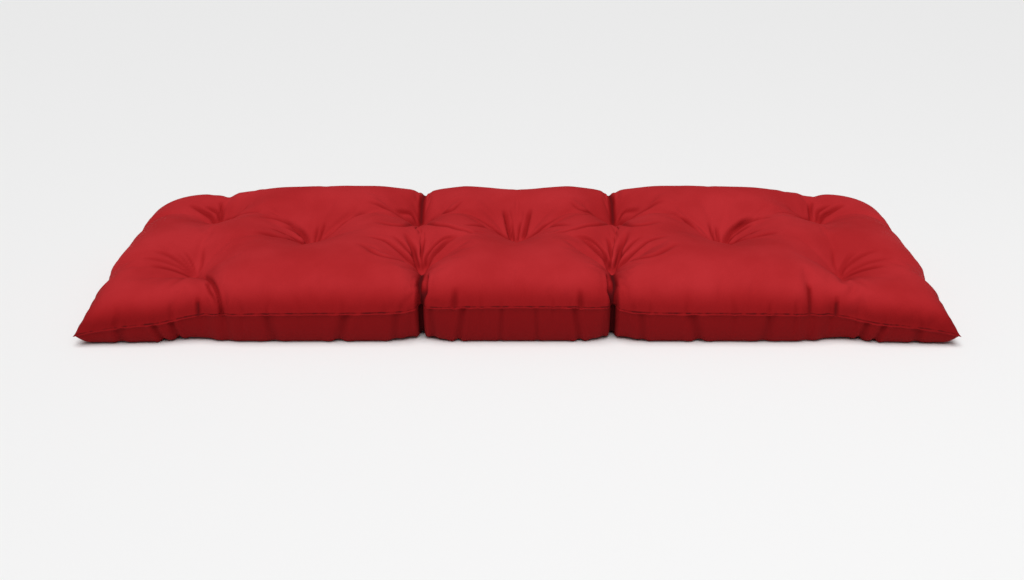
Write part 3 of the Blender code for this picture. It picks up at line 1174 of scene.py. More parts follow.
@dataclass
class CushionCover:
    """The two panels, sewn together and filled."""

    form: PadForm = field(default_factory=PadForm)
    finish: WovenCloth = field(default_factory=WovenCloth)
    name: str = "cushion_cover"
    # the grid of each panel, finer beside the divisions, the outer folds and the middle
    columns: int = 240
    rows: int = 84
    profile_places: int = 20001
    fine_band: float = 0.024
    finer: FinePlaces = (
        (FRONT_DIVISION, 1.0),
        (BACK_DIVISION, 1.0),
        (OUTER_FOLD, 0.5),
        (0.0, 0.5),
    )
    joining_distance: float = 1e-5
    seam_droop: float = 0.0014
    # the filling
    swell_room: float = 0.010
    swell_share: float = 0.35
    swell_limit: float = 0.030
    smoothing_rounds: int = 40
    frames: int = 18
    quality: int = 6
    pressure: float = 90.0
    stretch: float = 40.0
    shear: float = 4.0
    bending: float = 0.01
    stretch_damping: float = 5.0
    bending_damping: float = 0.5
    air_damping: float = 2.0
    vertex_mass: float = 0.0025
    # how much the cloth shrinks, so that below 0 it grows: everywhere and round a tuft
    growth: float = -0.03
    tuft_growth: float = -0.12
    tuft_growth_reach: float = 0.10
    # how firmly the cloth keeps its place while it is filled, and how far round a fold
    bottom_hold: float = 0.5
    bottom_middle_hold: float = 0.35
    bottom_rim: float = 0.03
    seam_hold: float = 0.9
    fold_hold: float = 0.6
    fold_hold_reach: float = 1.5
    fold_taut_reach: float = 3.0
    tuft_hold_radius: float = 0.006
    # the creases
    crease_seed: int = 5
    crease_press: float = 1.25
    crease_moves: tuple[float, float] = (0.004, 0.003)
    crease_range: tuple[float, float] = (0.7, 1.2)
    crease_search: float = 3.0
    crease_side: float = 0.25
    crease_start: float = 0.4
    crease_rise: float = 6.0
    crease_ridge: float = 0.3
    ridge_place: float = 1.5
    # the tufts' pits, with painted shade in them
    pit_radius: float = 0.012
    pit_depth: float = 0.005
    pit_shade: float = 0.6
    # the seam's puckers, with painted shade in their dents
    pucker_seed: int = 11
    long_edge_puckers: float = 0.70
    end_edge_puckers: float = 0.21
    pucker_move: float = 0.012
    pucker_spacing: tuple[float, float] = (0.025, 0.070)
    pucker_half_width: tuple[float, float] = (0.0035, 0.0070)
    pucker_depth: tuple[float, float] = (0.0005, 0.0018)
    pucker_slant: float = 0.8
    pucker_slant_reach: float = 0.02
    pucker_length: float = 2.4
    pucker_fall: float = 1.5
    pucker_ridge_place: float = 1.4
    pucker_droop: float = 0.4
    pucker_droop_reach: float = 0.006
    pucker_flange: float = 0.001
    pucker_shade: float = 80.0
    sewn_ridge: float = 0.4
    wall_start: float = 0.40
    wall_side: float = 0.02
    # how much shade is painted on the cloth beside the seam and below it, and from where to where
    # (the side runs from 1 on the top panel over 0 on the seam to -1 on the bottom panel)
    top_side: float = 0.1
    seam_side: float = 0.3
    front_span: tuple[float, float] = (0.10, 0.20)
    front_shadow: float = 0.45
    front_shadow_span: tuple[float, float] = (0.008, 0.047)
    corner_shadow: float = 0.14
    corner_span: tuple[float, float] = (0.56, 0.66)
    edge_shadow: float = 0.42
    lower_shadow: float = 0.34
    lower_front_shadow: float = 0.58
    # how far the bottom panel's cloth lies beside the top panel's on the UV map
    cloth_gap: float = 0.05

    def build(self) -> Piece:
        """Make the whole cover.

        Returns:
            The finished cover, as one closed mesh.
        """
        top = self.lay_panel("top_panel", True)
        bottom = self.lay_panel("bottom_panel", False)
        cover = self.sew(top, bottom)
        self.fill(cover)
        self.refine(cover)
        self.press_creases(cover)
        self.press_sewing(cover)
        self.join_level_faces(cover)
        self.unwrap(cover)
        cover.data.materials.append(self.finish.material())
        return cover

    def lines(self, cells: int, span: float, shoulder: float, finer: FinePlaces) -> Array:
        """Space a panel's lines evenly over its filled profile.

        Args:
            cells: how many cells lie between the two edges.
            span: the panel's size in this direction.
            shoulder: how far from the edges the profile is rounded.
            finer: the places beside which the lines lie closer, and by how much.

        Returns:
            The places of the lines, from edge to edge.
        """
        half = 0.5 * span - self.form.seam_flange
        places = np.linspace(-half, half, self.profile_places)
        rise = self.form.crown_front - self.form.seam_level
        profile = rise * rounded(half - np.abs(places), shoulder)
        weight = np.ones(len(places) - 1)
        middle = 0.5 * (places[1:] + places[:-1])
        for place, strength in finer:
            away = (np.abs(middle) - place) / self.fine_band
            weight += strength * np.exp(-(away**2))
        steps = np.hypot(np.diff(places), np.diff(profile)) * weight
        covered = np.concatenate([[0.0], np.cumsum(steps)])
        inner = np.interp(np.linspace(0.0, covered[-1], cells - 1), covered, places)
        return np.concatenate([[-0.5 * span], inner, [0.5 * span]])

    def panel_lines(self) -> tuple[Array, Array]:
        """Work out where the lines of a panel's grid lie.

        Returns:
            Their places along X and along Y.
        """
        form = self.form
        lines_x = self.lines(self.columns, form.length, form.shoulder_end, self.finer)
        lines_y = self.lines(self.rows, form.depth, form.shoulder_long, ())
        return lines_x, lines_y

    def lay_panel(self, name: str, is_top: bool) -> Piece:
        """Lay one panel out flat and move it to its filled place.

        Args:
            name: the panel's name.
            is_top: whether it is the top panel.

        Returns:
            The panel, with its own coordinates in the attribute "panel".
        """
        deselect_all()
        bpy.ops.mesh.primitive_grid_add(
            x_subdivisions=self.columns, y_subdivisions=self.rows, size=1.0
        )
        panel = bpy.context.object
        panel.name = panel.data.name = name
        if not is_top:
            bpy.ops.object.mode_set(mode="EDIT")
            bpy.ops.mesh.select_all(action="SELECT")
            bpy.ops.mesh.flip_normals()
            bpy.ops.object.mode_set(mode="OBJECT")
        flat = vertex_places(panel.data)
        lines_x, lines_y = self.panel_lines()
        column = np.rint((flat[:, 0] + 0.5) * self.columns).astype(int)
        row = np.rint((flat[:, 1] + 0.5) * self.rows).astype(int)
        own = np.stack([lines_x[column], lines_y[row]], axis=1)
        edge = (column == 0) | (column == self.columns) | (row == 0) | (row == self.rows)
        side = np.where(edge, 0.0, 1.0 if is_top else -1.0)
        store_point_vector(panel.data, "panel", np.column_stack([own, side]))
        set_vertex_places(panel.data, self.form_places(own, side, 0.0, is_top))
        return panel

    def form_places(self, own: Array, side: Array, room: float, is_top: bool) -> Array:
        """Return the filled places of panel points.

        Args:
            own: the points on the flat panel.
            side: 1 on the top panel, -1 on the bottom panel and 0 on the seam.
            room: how much lower the crown is.
            is_top: whether the points belong to the top panel.

        Returns:
            One row of three coordinates for each point.
        """
        plan = self.form.plan(own)
        if is_top:
            height = self.form.top(own, plan, room)
        else:
            height = self.form.bottom(own, plan)
        height = np.where(side == 0.0, self.form.seam(own) - self.seam_droop, height)
        return np.column_stack([plan, height])

    def cover_places(self, cover: Piece, room: float) -> Array:
        """Work out the filled places of all the cover's vertices.

        Args:
            cover: the cover.
            room: how much lower the crown is.

        Returns:
            One row of three coordinates for each vertex.
        """
        panel = point_vector(cover.data, "panel")
        own, side = panel[:, :2], panel[:, 2]
        top = self.form_places(own, side, room, True)
        bottom = self.form_places(own, side, room, False)
        return np.where((side < ON_BOTTOM)[:, None], bottom, top)

    def sew(self, top: Piece, bottom: Piece) -> Piece:
        """Join the two panels along their edges.

        Args:
            top: the top panel.
            bottom: the bottom panel.

        Returns:
            One closed mesh.
        """
        deselect_all()
        bottom.select_set(True)
        top.select_set(True)
        bpy.context.view_layer.objects.active = top
        bpy.ops.object.join()
        top.name = top.data.name = self.name
        bpy.ops.object.mode_set(mode="EDIT")
        bpy.ops.mesh.select_all(action="DESELECT")
        bpy.ops.mesh.select_mode(type="VERT")
        bpy.ops.mesh.select_non_manifold()
        bpy.ops.mesh.remove_doubles(threshold=self.joining_distance)
        bpy.ops.object.mode_set(mode="OBJECT")
        return top

    def pin_weights(self, cover: Piece) -> None:
        """Store how firmly each vertex keeps its place and how taut its cloth is.

        Args:
            cover: the cover, which gets the vertex groups "held" and "taut".
        """
        panel = point_vector(cover.data, "panel")
        own, side = panel[:, :2], panel[:, 2]
        plan = self.form.plan(own)
        end, long = self.form.edge_distances(own)
        rim = np.clip(np.minimum(end, long) / self.bottom_rim, 0.0, 1.0)
        weight = np.where(side < ON_BOTTOM, self.bottom_hold + self.bottom_middle_hold * rim, 0.0)
        weight = np.where(self.form.on_flange(own, TOLERANCE), self.seam_hold, weight)
        fixed = np.where(side > ON_BOTTOM, 0.0, 1.0)
        for fold in FOLDS:
            if fold.kind is FoldKind.FOLD:
                distance = fold.distance(plan)
                held = bump(distance, self.fold_hold_reach * fold.half_width) * (side > ON_TOP)
                weight = np.maximum(weight, self.fold_hold * held)
                fixed = np.maximum(fixed, bump(distance, self.fold_taut_reach * fold.half_width))
        spare = np.full(len(plan), self.growth / self.tuft_growth)
        for tuft in self.form.tufts:
            distance = tuft.distance(plan)
            weight = np.where(distance < self.tuft_hold_radius, 1.0, weight)
            near = tuft.looseness * np.exp(-((distance / self.tuft_growth_reach) ** 2))
            spare = np.maximum(spare, near)
        store_weights(cover, "held", weight)
        store_weights(cover, "taut", 1.0 - spare * (1.0 - fixed))

    def fill(self, cover: Piece) -> None:
        """Blow the cover up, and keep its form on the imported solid's.

        Args:
            cover: the sewn cover.
        """
        target = self.cover_places(cover, 0.0)
        set_vertex_places(cover.data, self.cover_places(cover, self.swell_room))
        self.pin_weights(cover)
        swollen = self.blow_up(cover)
        cover.vertex_groups.clear()
        set_vertex_places(cover.data, self.settled(cover, target, swollen))

    def blow_up(self, cover: Piece) -> Array:
        """Let Cloth press the cover outwards for a few frames.

        Args:
            cover: the sewn cover, with its vertex groups.

        Returns:
            Where Cloth moved the vertices. The cover itself stays as it is.
        """
        make_active(cover)
        cloth = cover.modifiers.new("filling", "CLOTH")
        for setting, value in (
            ("quality", self.quality),
            ("mass", self.vertex_mass),
            ("tension_stiffness", self.stretch),
            ("compression_stiffness", self.stretch),
            ("shear_stiffness", self.shear),
            ("bending_stiffness", self.bending),
            ("tension_damping", self.stretch_damping),
            ("compression_damping", self.stretch_damping),
            ("shear_damping", self.stretch_damping),
            ("bending_damping", self.bending_damping),
            ("air_damping", self.air_damping),
            ("use_pressure", True),
            ("uniform_pressure_force", self.pressure),
            ("vertex_group_mass", "held"),
            ("pin_stiffness", 1.0),
            ("shrink_min", self.tuft_growth),
            ("shrink_max", 0.0),
            ("vertex_group_shrink", "taut"),
        ):
            setattr(cloth.settings, setting, value)
        cloth.settings.effector_weights.gravity = 0.0
        cloth.collision_settings.use_collision = False
        cloth.point_cache.frame_start = 1
        cloth.point_cache.frame_end = self.frames + 1
        for number in range(1, self.frames + 1):
            bpy.context.scene.frame_set(number)
        graph = bpy.context.evaluated_depsgraph_get()
        swollen = vertex_places(cover.evaluated_get(graph).data)
        cover.modifiers.remove(cloth)
        bpy.context.scene.frame_set(1)
        return swollen

    def settled(self, cover: Piece, target: Array, swollen: Array) -> Array:
        """Keep the wrinkles of the swollen cover and only a share of its broad swelling.

        Args:
            cover: the cover.
            target: the form that the pad should have.
            swollen: where Cloth moved the vertices.

        Returns:
            The places that the vertices take.
        """
        moved = swollen - target
        size = np.linalg.norm(moved, axis=1)
        moved *= np.minimum(1.0, self.swell_limit / np.maximum(size, TINY))[:, None]
        edges = read(cover.data.edges, "vertices", 2, whole=True)
        broad = smoothed(moved, edges, self.smoothing_rounds)
        result = target + (moved - broad) + self.swell_share * broad
        panel = point_vector(cover.data, "panel")
        flange = self.form.on_flange(panel[:, :2], TOLERANCE)
        result[flange] = target[flange]
        resting = (panel[:, 2] < ON_BOTTOM) & (target[:, 2] < TOLERANCE)
        result[resting, 2] = 0.0
        result[:, 2] = np.maximum(result[:, 2], 0.0)
        LOG.info("filling moved the cloth by up to %.1f mm", 1000.0 * size.max())
        return result

    def refine(self, cover: Piece) -> None:
        """Smooth the cover with one subdivision.

        Args:
            cover: the filled cover.
        """
        make_active(cover)
        smooth = cover.modifiers.new("smooth", "SUBSURF")
        smooth.levels = smooth.render_levels = 1
        smooth.boundary_smooth = "ALL"
        bpy.ops.object.modifier_apply(modifier="smooth")

    def press_creases(self, cover: Piece) -> None:
        """Press the sharp creases in, and store the shade painted into the creases and deep folds.

        Args:
            cover: the smoothed cover, which gets the attribute "fold", its painted shade.
        """
        relief = Relief.of(cover.data)
        draw = random.Random(self.crease_seed)
        move_x, move_y = self.crease_moves
        for fold in FOLDS:
            for mirror in MIRRORS:
                if fold.kind is FoldKind.VALLEY or fold.half.value * mirror > 0.0:
                    continue
                path = smooth_path(fold.path) * np.array([mirror, 1.0])
                press = self.crease_press
                if fold.kind is FoldKind.CREASE and mirror < 0.0:
                    path += np.array([draw.uniform(-move_x, move_x), draw.uniform(-move_y, move_y)])
                    press *= draw.uniform(*self.crease_range)
                self.press_crease(relief, fold, path, press)
        set_vertex_places(cover.data, relief.shifted())
        # the attribute "fold" holds the painted shade
        store_point_number(cover.data, "fold", np.clip(relief.shade, 0.0, 1.0))

    def press_crease(self, relief: Relief, fold: Fold, path: Array, press: float) -> None:
        """Press one crease in with low ridges beside it and painted shade, or paint shade in a deep fold.

        Args:
            relief: what is pressed into the cloth.
            fold: the crease or deep fold.
            path: where it runs, in plan, from the tuft on.
            press: how strongly it is pressed in.
        """
        reach = self.crease_search * fold.half_width
        plan = relief.places[:, :2]
        near = np.all((plan > path.min(axis=0) - reach) & (plan < path.max(axis=0) + reach), axis=1)
        near = np.nonzero(near & (relief.side > self.crease_side))[0]
        distance, along = path_distance(path, plan[near])
        ending = np.clip((1.0 - along) / fold.fade, 0.0, 1.0)
        starting = np.clip(self.crease_start + self.crease_rise * along, 0.0, 1.0)
        strength = np.sin(0.5 * math.pi * ending) * starting
        valley_share = bump(distance, fold.half_width) * strength
        if fold.kind is FoldKind.CREASE:
            ridge = bump(distance - self.ridge_place * fold.half_width, fold.half_width)
            raised = self.crease_ridge * ridge * strength - valley_share
            relief.shift[near] += press * fold.depth * raised
        # painted shade inside the crease or deep fold
        relief.shade[near] = np.maximum(relief.shade[near], fold.shade * valley_share)
        LOG.debug("%s: pressed into %d vertices", fold.name, len(near))

    def seam_puckers(self) -> list[Pucker]:
        """List the puckers round the seam.

        Returns:
            The puckers: those of the front where the photograph shows them, and those of the
            other edges at random.
        """
        draw = random.Random(self.pucker_seed)
        places = []
        for place in FRONT_PUCKERS:
            places.append((Edge.FRONT, -place))
            places.append((Edge.FRONT, place + draw.uniform(-self.pucker_move, self.pucker_move)))
        for edge, half in (
            (Edge.BACK, self.long_edge_puckers),
            (Edge.LEFT, self.end_edge_puckers),
            (Edge.RIGHT, self.end_edge_puckers),
        ):
            place = -half
            while place < half:
                places.append((edge, place))
                place += draw.uniform(*self.pucker_spacing)
        puckers = []
        for edge, place in places:
            half_width = draw.uniform(*self.pucker_half_width)
            depth = draw.uniform(*self.pucker_depth)
            slant = draw.uniform(-self.pucker_slant, self.pucker_slant)
            puckers.append(Pucker(edge, place, half_width, depth, slant))
        return puckers

    def press_sewing(self, cover: Piece) -> None:
        """Press in what the sewing does, and paint shade on the cloth beside the seam and below it.

        Args:
            cover: the creased cover, whose attribute "fold" holds the painted shade so far.
        """
        relief = Relief.of(cover.data)
        relief.shade = point_number(cover.data, "fold")
        resting = (relief.side < ON_BOTTOM) & (relief.places[:, 2] < TOLERANCE)
        self.press_pits(relief)
        for pucker in self.seam_puckers():
            self.press_pucker(relief, pucker)
        # painted shade of the lower panel, stronger towards the front
        frontness = smooth_step(-relief.own[:, 1], *self.front_span)
        below = self.lower_shadow + (self.lower_front_shadow - self.lower_shadow) * frontness
        self.press_wall_folds(relief, below)
        places = relief.shifted()
        places[resting, 2] = 0.0
        places[:, 2] = np.maximum(places[:, 2], 0.0)
        above = places[:, 2] - self.form.seam(relief.own)
        self.shade_seam(relief, above, frontness, below)
        set_vertex_places(cover.data, places)
        # the attribute "fold" holds the painted shade
        store_point_number(cover.data, "fold", np.clip(relief.shade, 0.0, 1.0))
        self.store_from_seam(cover, relief, above)

    def press_pits(self, relief: Relief) -> None:
        """Press in a small pit at each tuft, with painted shade in it.

        Args:
            relief: what is pressed into the cloth.
        """
        for tuft in self.form.tufts:
            distance = tuft.distance(relief.places)
            relief.shift -= self.pit_depth * bump(distance, self.pit_radius)
            # painted shade in the pit
            relief.darken(self.pit_shade * bump(distance, 0.5 * self.pit_radius))

    def press_pucker(self, relief: Relief, pucker: Pucker) -> None:
        """Press one pucker in, with a low ridge on both sides and painted shade in its dent.

        Args:
            relief: what is pressed into the cloth.
            pucker: the pucker.
        """
        own, width = relief.own, pucker.half_width
        end, long = self.form.edge_distances(own)
        if pucker.edge in (Edge.FRONT, Edge.BACK):
            near = long + FAR * ((own[:, 1] < 0.0) != (pucker.edge is Edge.FRONT))
            along = own[:, 0] - pucker.place
        else:
            near = end + FAR * ((own[:, 0] < 0.0) != (pucker.edge is Edge.LEFT))
            along = own[:, 1] - pucker.place
        along = along - pucker.slant * np.clip(near, 0.0, self.pucker_slant_reach)
        reach = self.pucker_length * width
        fall = np.clip(1.0 - np.maximum(near, 0.0) / reach, 0.0, 1.0) ** self.pucker_fall
        press = bump(along, width) * fall
        ridge = bump(np.abs(along) - self.pucker_ridge_place * width, width)
        ridge = self.sewn_ridge * ridge * fall
        inside = near > -self.pucker_flange
        relief.shift -= pucker.depth * (press - ridge) * inside
        droop = self.pucker_droop * pucker.depth * (ridge - press)
        relief.places[:, 2] += droop * (near < self.pucker_droop_reach)
        # painted shade in the pucker's dent
        relief.darken(self.pucker_shade * pucker.depth * press * inside)

    def press_wall_folds(self, relief: Relief, below: Array) -> None:
        """Press the upright folds into the lower panel's standing front and back, with painted shade.

        Args:
            relief: what is pressed into the cloth.
            below: how much shade is painted on the lower panel at each vertex.
        """
        own = relief.own
        lift = np.clip(1.0 - relief.places[:, 2] / self.form.seam(own), 0.0, 1.0)
        wall = np.abs(own[:, 1]) > self.wall_start * self.form.depth
        wall &= relief.side < -self.wall_side
        for fold in WALL_FOLDS:
            for mirror in MIRRORS:
                offset = fold.right_shift if mirror > 0.0 else 0.0
                line = fold.seam_place + (fold.floor_place - fold.seam_place) * lift + offset
                distance = own[:, 0] - mirror * line
                press = bump(distance, fold.half_width) * wall
                beside = np.abs(distance) - self.ridge_place * fold.half_width
                ridge = self.sewn_ridge * bump(beside, fold.half_width)
                relief.shift -= fold.depth * (press - ridge * wall)
                # painted shade on the standing front and back, deeper inside the fold
                relief.darken((below + fold.shade * press) * wall)

    def shade_seam(self, relief: Relief, above: Array, frontness: Array, below: Array) -> None:
        """Paint shade on the cloth on the seam, just above it at the front, and below it.

        Args:
            relief: what is pressed into the cloth.
            above: how far each vertex lies above the seam.
            frontness: 1 at the front edge and 0 away from it.
            below: how much shade is painted on the lower panel at each vertex.
        """
        # painted shade just above the front seam, stronger at the corners, then on the flange and lower
        # panel
        start, full = self.corner_span
        corner = np.clip((np.abs(relief.own[:, 0]) - start) / (full - start), 0.0, 1.0)
        upper = (self.front_shadow + self.corner_shadow * corner) * (relief.side > self.top_side)
        upper *= 1.0 - smooth_step(above, *self.front_shadow_span)
        upper *= frontness
        relief.shade = relief.shade + np.clip(1.0 - relief.shade, 0.0, 1.0) * upper
        relief.darken(self.edge_shadow * (np.abs(relief.side) < self.seam_side))
        relief.darken(below * (relief.side < -self.seam_side))

    def store_from_seam(self, cover: Piece, relief: Relief, above: Array) -> None:
        """Store how far each vertex of the top panel lies from the seam.

        Args:
            cover: the cover, which gets the attribute "from_seam": below 0 on the flange, and 1
            on the lower panel, where the painted shadow line of the seam isn't drawn.
            relief: what is pressed into the cloth.
            above: how far each vertex lies above the seam.
        """
        inside = np.minimum(*self.form.edge_distances(relief.own))
        from_seam = np.where(inside < 0.0, inside, np.hypot(inside, above))
        from_seam = np.where(relief.side > self.top_side, from_seam, 1.0)
        store_point_number(cover.data, "from_seam", from_seam)

    def join_level_faces(self, cover: Piece) -> None:
        """Replace the many level faces that the pad lies on by a few large ones.

        Args:
            cover: the pressed cover, all of four-sided faces.
        """
        make_active(cover)
        mesh = cover.data
        mesh.attributes.new("patch", "INT", "FACE")
        mesh.attributes["patch"].data.foreach_set("value", self.level_patches(mesh))
        bpy.ops.object.mode_set(mode="EDIT")
        bpy.ops.mesh.select_mode(type="FACE")
        for number in (1, 2):
            bpy.ops.mesh.select_all(action="DESELECT")
            bpy.ops.object.mode_set(mode="OBJECT")
            patch = read(mesh.attributes["patch"].data, "value", whole=True)
            mesh.polygons.foreach_set("select", patch == number)
            bpy.ops.object.mode_set(mode="EDIT")
            bpy.ops.mesh.dissolve_faces(use_verts=False)
        bpy.ops.object.mode_set(mode="OBJECT")
        mesh.attributes.remove(mesh.attributes["patch"])

    def level_patches(self, mesh: Mesh) -> Array:
        """Number the level faces so that each patch of one number is one plain outline.

        Cuts through the tufts split the level part into strips, which are numbered 1 and 2 in
        turn, so that no patch has a hole. Faces at which a patch would touch itself only at a
        corner are left out.

        Args:
            mesh: the cover's mesh, which is all of four-sided faces.

        Returns:
            The number of each face's patch, 0 for a face that stays as it is.
        """
        corner = read(mesh.loops, "vertex_index", whole=True).reshape(-1, 4)
        border = read(mesh.loops, "edge_index", whole=True).reshape(-1, 4)
        ends = read(mesh.edges, "vertices", 2, whole=True)
        panel = point_vector(mesh, "panel")
        form_height = self.form.bottom(panel[:, :2], self.form.plan(panel[:, :2]))
        level = (form_height < TOLERANCE) & (panel[:, 2] < ON_BOTTOM)
        level &= vertex_places(mesh)[:, 2] < TOLERANCE
        cuts = sorted({tuft.x for tuft in self.form.tufts})
        strip = np.searchsorted(cuts, panel[corner, 0].mean(axis=1))
        patch = np.zeros(len(corner), dtype=np.int32)
        for number in (1, 2):
            chosen = level[corner].all(axis=1) & (strip % 2 + 1 == number)
            pinched = np.ones(len(level), dtype=bool)
            while pinched.any():
                uses = np.bincount(border[chosen].ravel(), minlength=len(ends))
                touching = np.bincount(ends[uses == 1].ravel(), minlength=len(level))
                pinched = touching > 2
                chosen &= ~pinched[corner].any(axis=1)
            patch[chosen] = number
        return patch

    def unwrap(self, cover: Piece) -> None:
        """Give the cover a UV map in metres of its own cloth, the bottom beside the top.

        Args:
            cover: the finished mesh, which gets the UV map "cloth".
        """
        mesh = cover.data
        panel = point_vector(mesh, "panel")
        vertex_of = read(mesh.loops, "vertex_index", whole=True)
        totals = read(mesh.polygons, "loop_total", whole=True)
        face_of = np.repeat(np.arange(len(totals)), totals)
        mean_side = np.bincount(face_of, panel[vertex_of, 2]) / totals
        uv = panel[vertex_of, :2].copy()
        beside = -self.form.depth - self.cloth_gap
        uv[:, 1] += np.where(mean_side[face_of] < 0.0, beside, 0.0)
        layer = mesh.uv_layers.new(name="cloth")
        layer.data.foreach_set("uv", uv.astype(np.float32).ravel())


@dataclass
class TuftThreads:
    """The visible stitches of thread at the tufts, on both sides of the pad."""

    form: PadForm = field(default_factory=PadForm)
    finish: SewingThread = field(default_factory=SewingThread)
    name: str = "tuft_threads"
    length: float = 0.0075
    radius: float = 0.00055
    sides: int = 10
    bends: tuple[float, ...] = (-0.36, -0.2, 0.0, 0.2, 0.36)
    gap: float = 0.0012
    sink: float = 0.0022
    turn_limit: float = 0.45
    turn_pace: float = 2.3
    touching: int = 5

    def build(self, cover: Piece) -> Piece:
        """Lay two strands of thread over each tuft, above and below.

        Args:
            cover: the finished cover, which the strands lie on.

        Returns:
            All strands as one piece.
        """
        strand = self.strand()
        strands = []
        for number, tuft in enumerate(self.form.tufts):
            turn = self.turn_limit * math.sin(self.turn_pace * number)
            for sign in MIRRORS:
                level = self.level(cover.data, tuft, sign)
                middle = Vector((tuft.x, tuft.y, level + sign * 0.5 * self.radius))
                for offset in (-0.5 * self.gap, 0.5 * self.gap):
                    strands.append(self.laid(strand, middle, turn, offset, sign))
                LOG.debug("%s: thread at %.1f mm", tuft.name, 1000.0 * level)
        deselect_all()
        for copy in strands:
            copy.select_set(True)
        bpy.context.view_layer.objects.active = strands[0]
        bpy.ops.object.join()
        threads = strands[0]
        threads.name = threads.data.name = self.name
        bpy.data.objects.remove(strand)
        threads.data.materials.append(self.finish.material())
        threads.data.shade_smooth()
        return threads

    def level(self, mesh: Mesh, tuft: Tuft, sign: float) -> float:
        """Find the height at which a strand touches the cloth.

        Args:
            mesh: the cover's mesh.
            tuft: the tuft.
            sign: 1 for the top panel and -1 for the bottom panel.

        Returns:
            The height of the outermost of the vertices nearest to the tuft.
        """
        places = vertex_places(mesh)
        side = point_vector(mesh, "panel")[:, 2]
        apart = tuft.distance(places) + FAR * (side * sign < ON_TOP)
        nearest = np.argsort(apart)[: self.touching]
        return sign * float((sign * places[nearest, 2]).max())

    def strand(self) -> Piece:
        """Make one strand along X that dips at both ends, where it goes through the cloth.

        Returns:
            The strand, with its middle at the origin.
        """
        deselect_all()
        bpy.ops.mesh.primitive_cylinder_add(
            vertices=self.sides,
            radius=self.radius,
            depth=self.length,
            end_fill_type="TRIFAN",
            rotation=(0.0, math.radians(90.0), 0.0),
        )
        strand = bpy.context.object
        bpy.ops.object.transform_apply(location=True, rotation=True, scale=True)
        bpy.ops.object.mode_set(mode="EDIT")
        for share in self.bends:
            bpy.ops.mesh.select_all(action="SELECT")
            bpy.ops.mesh.bisect(plane_co=(share * self.length, 0.0, 0.0), plane_no=(1.0, 0.0, 0.0))
        bpy.ops.object.mode_set(mode="OBJECT")
        places = vertex_places(strand.data)
        share = places[:, 0] / (0.5 * self.length)
        places[:, 2] -= self.sink * share**4
        set_vertex_places(strand.data, places)
        return strand

    def laid(
        self, strand: Piece, middle: Vector, turn: float, offset: float, sign: float
    ) -> Piece:
        """Copy the strand to its tuft.

        Args:
            strand: the strand to copy.
            middle: the middle of the copy.
            turn: how far it is turned about Z.
            offset: how far it lies beside the middle.
            sign: 1 on the top panel and -1 on the bottom panel.

        Returns:
            The copy, with its own mesh.
        """
        copy = bpy.data.objects.new(self.name, strand.data.copy())
        bpy.context.scene.collection.objects.link(copy)
        places = vertex_places(copy.data)
        x, y, z = places[:, 0], places[:, 1] * sign + offset, places[:, 2] * sign
        cosine, sine = math.cos(turn), math.sin(turn)
        turned = np.column_stack([x * cosine - y * sine, x * sine + y * cosine, z])
        set_vertex_places(copy.data, turned + np.asarray(middle))
        return copy


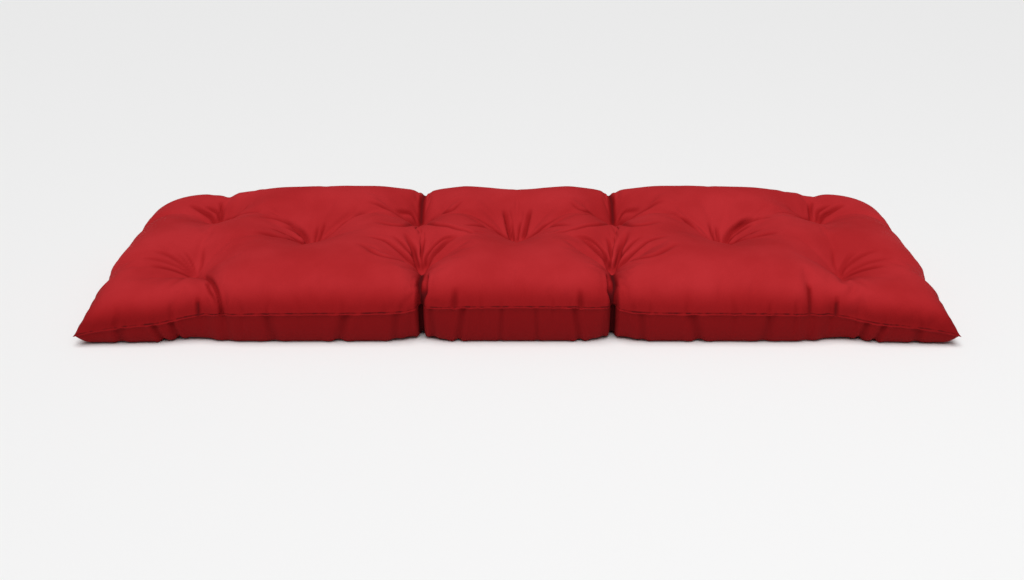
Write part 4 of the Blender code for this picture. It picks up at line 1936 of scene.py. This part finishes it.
# ---------------------------------------------------------------- the studio
@dataclass
class Studio:
    """The floor, the lights and the camera."""

    focal_pixels: float = 1156.0
    centre_pixel: float = 517.0
    sensor: float = 36.0
    camera_place: tuple[float, float, float] = (0.0, -2.0130, 0.8432)
    camera_pitch: float = 22.7
    softbox_place: tuple[float, float, float] = (0.6, -1.7, 2.4)
    softbox_size: float = 1.6
    softbox_power: float = 10.0
    sky_direction: tuple[float, float, float] = (-0.08, -0.36, 1.0)
    sky_spread: float = 55.0
    sky_power: float = 2.60
    world_light: float = 0.16
    backdrop: float = 0.92
    floor: PaleFloor = field(default_factory=PaleFloor)
    floor_size: float = 30.0
    floor_gap: float = 0.0004

    def build(self) -> None:
        """Set up the floor, the lights, the world and the camera."""
        self.add_floor()
        self.add_softbox()
        self.add_skylight()
        self.add_world()
        self.add_camera()

    def add_floor(self) -> None:
        """Lay a wide level floor just under the cushion."""
        deselect_all()
        place = (0.0, 0.0, -self.floor_gap)
        bpy.ops.mesh.primitive_plane_add(size=self.floor_size, location=place)
        floor = bpy.context.object
        floor.name = floor.data.name = "floor"
        bpy.ops.object.transform_apply(location=True, rotation=True, scale=True)
        floor.data.materials.append(self.floor.material())

    def add_softbox(self) -> None:
        """Hang one square light over the front, facing the cushion."""
        light = bpy.data.lights.new("front", "AREA")
        light.size = self.softbox_size
        light.energy = self.softbox_power
        self.hang(light, self.softbox_place)

    def add_skylight(self) -> None:
        """Add one very soft light from above that is as strong all over the floor."""
        light = bpy.data.lights.new("overhead", "SUN")
        light.angle = math.radians(self.sky_spread)
        light.energy = self.sky_power
        self.hang(light, self.sky_direction)

    def hang(self, light: bpy.types.Light, place: tuple[float, float, float]) -> None:
        """Hang a light at its place and turn it to the middle of the floor.

        Args:
            light: the light.
            place: where it hangs.
        """
        holder = bpy.data.objects.new(light.name, light)
        bpy.context.scene.collection.objects.link(holder)
        holder.location = place
        holder.rotation_euler = (-Vector(place)).to_track_quat("-Z", "Y").to_euler()

    def add_world(self) -> None:
        """Light the scene evenly from all round, in front of a pale backdrop."""
        world = bpy.data.worlds.new("studio")
        world.use_nodes = True
        nodes, links = world.node_tree.nodes, world.node_tree.links
        light = nodes["Background"]
        light.inputs["Strength"].default_value = self.world_light
        backdrop = nodes.new("ShaderNodeBackground")
        backdrop.inputs["Strength"].default_value = self.backdrop
        for surface in (light, backdrop):
            surface.inputs["Color"].default_value = (1.0, 1.0, 1.0, 1.0)
        seen = nodes.new("ShaderNodeLightPath")
        choice = nodes.new("ShaderNodeMixShader")
        links.new(seen.outputs["Is Camera Ray"], choice.inputs["Fac"])
        links.new(light.outputs["Background"], choice.inputs[1])
        links.new(backdrop.outputs["Background"], choice.inputs[2])
        links.new(choice.outputs["Shader"], nodes["World Output"].inputs["Surface"])
        bpy.context.scene.world = world
        bpy.context.scene.view_settings.view_transform = "Standard"

    def add_camera(self) -> None:
        """Place the camera as it stood for the photograph."""
        data = bpy.data.cameras.new("camera")
        data.sensor_width = self.sensor
        data.lens = self.focal_pixels / IMAGE_WIDTH * self.sensor
        data.shift_x = -(self.centre_pixel - 0.5 * IMAGE_WIDTH) / IMAGE_WIDTH
        camera = bpy.data.objects.new("camera", data)
        bpy.context.scene.collection.objects.link(camera)
        camera.location = self.camera_place
        camera.rotation_euler = (math.radians(90.0 - self.camera_pitch), 0.0, 0.0)
        bpy.context.scene.camera = camera


def report(piece: Piece) -> None:
    """Say which piece is finished and how many faces it has."""
    LOG.info("%s: %d faces", piece.name, len(piece.data.polygons))


def main() -> None:
    """Build the cushion and the studio round it."""
    logging.basicConfig(level=logging.INFO, format="%(name)s: %(message)s")
    deselect_all()
    Studio().build()
    cover = CushionCover().build()
    cover.data.shade_smooth()
    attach(cover, BODY)
    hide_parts(CAD_NODE)
    report(cover)
    threads = TuftThreads().build(cover)
    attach(threads, BODY)
    report(threads)


if __name__ == "__main__":
    main()
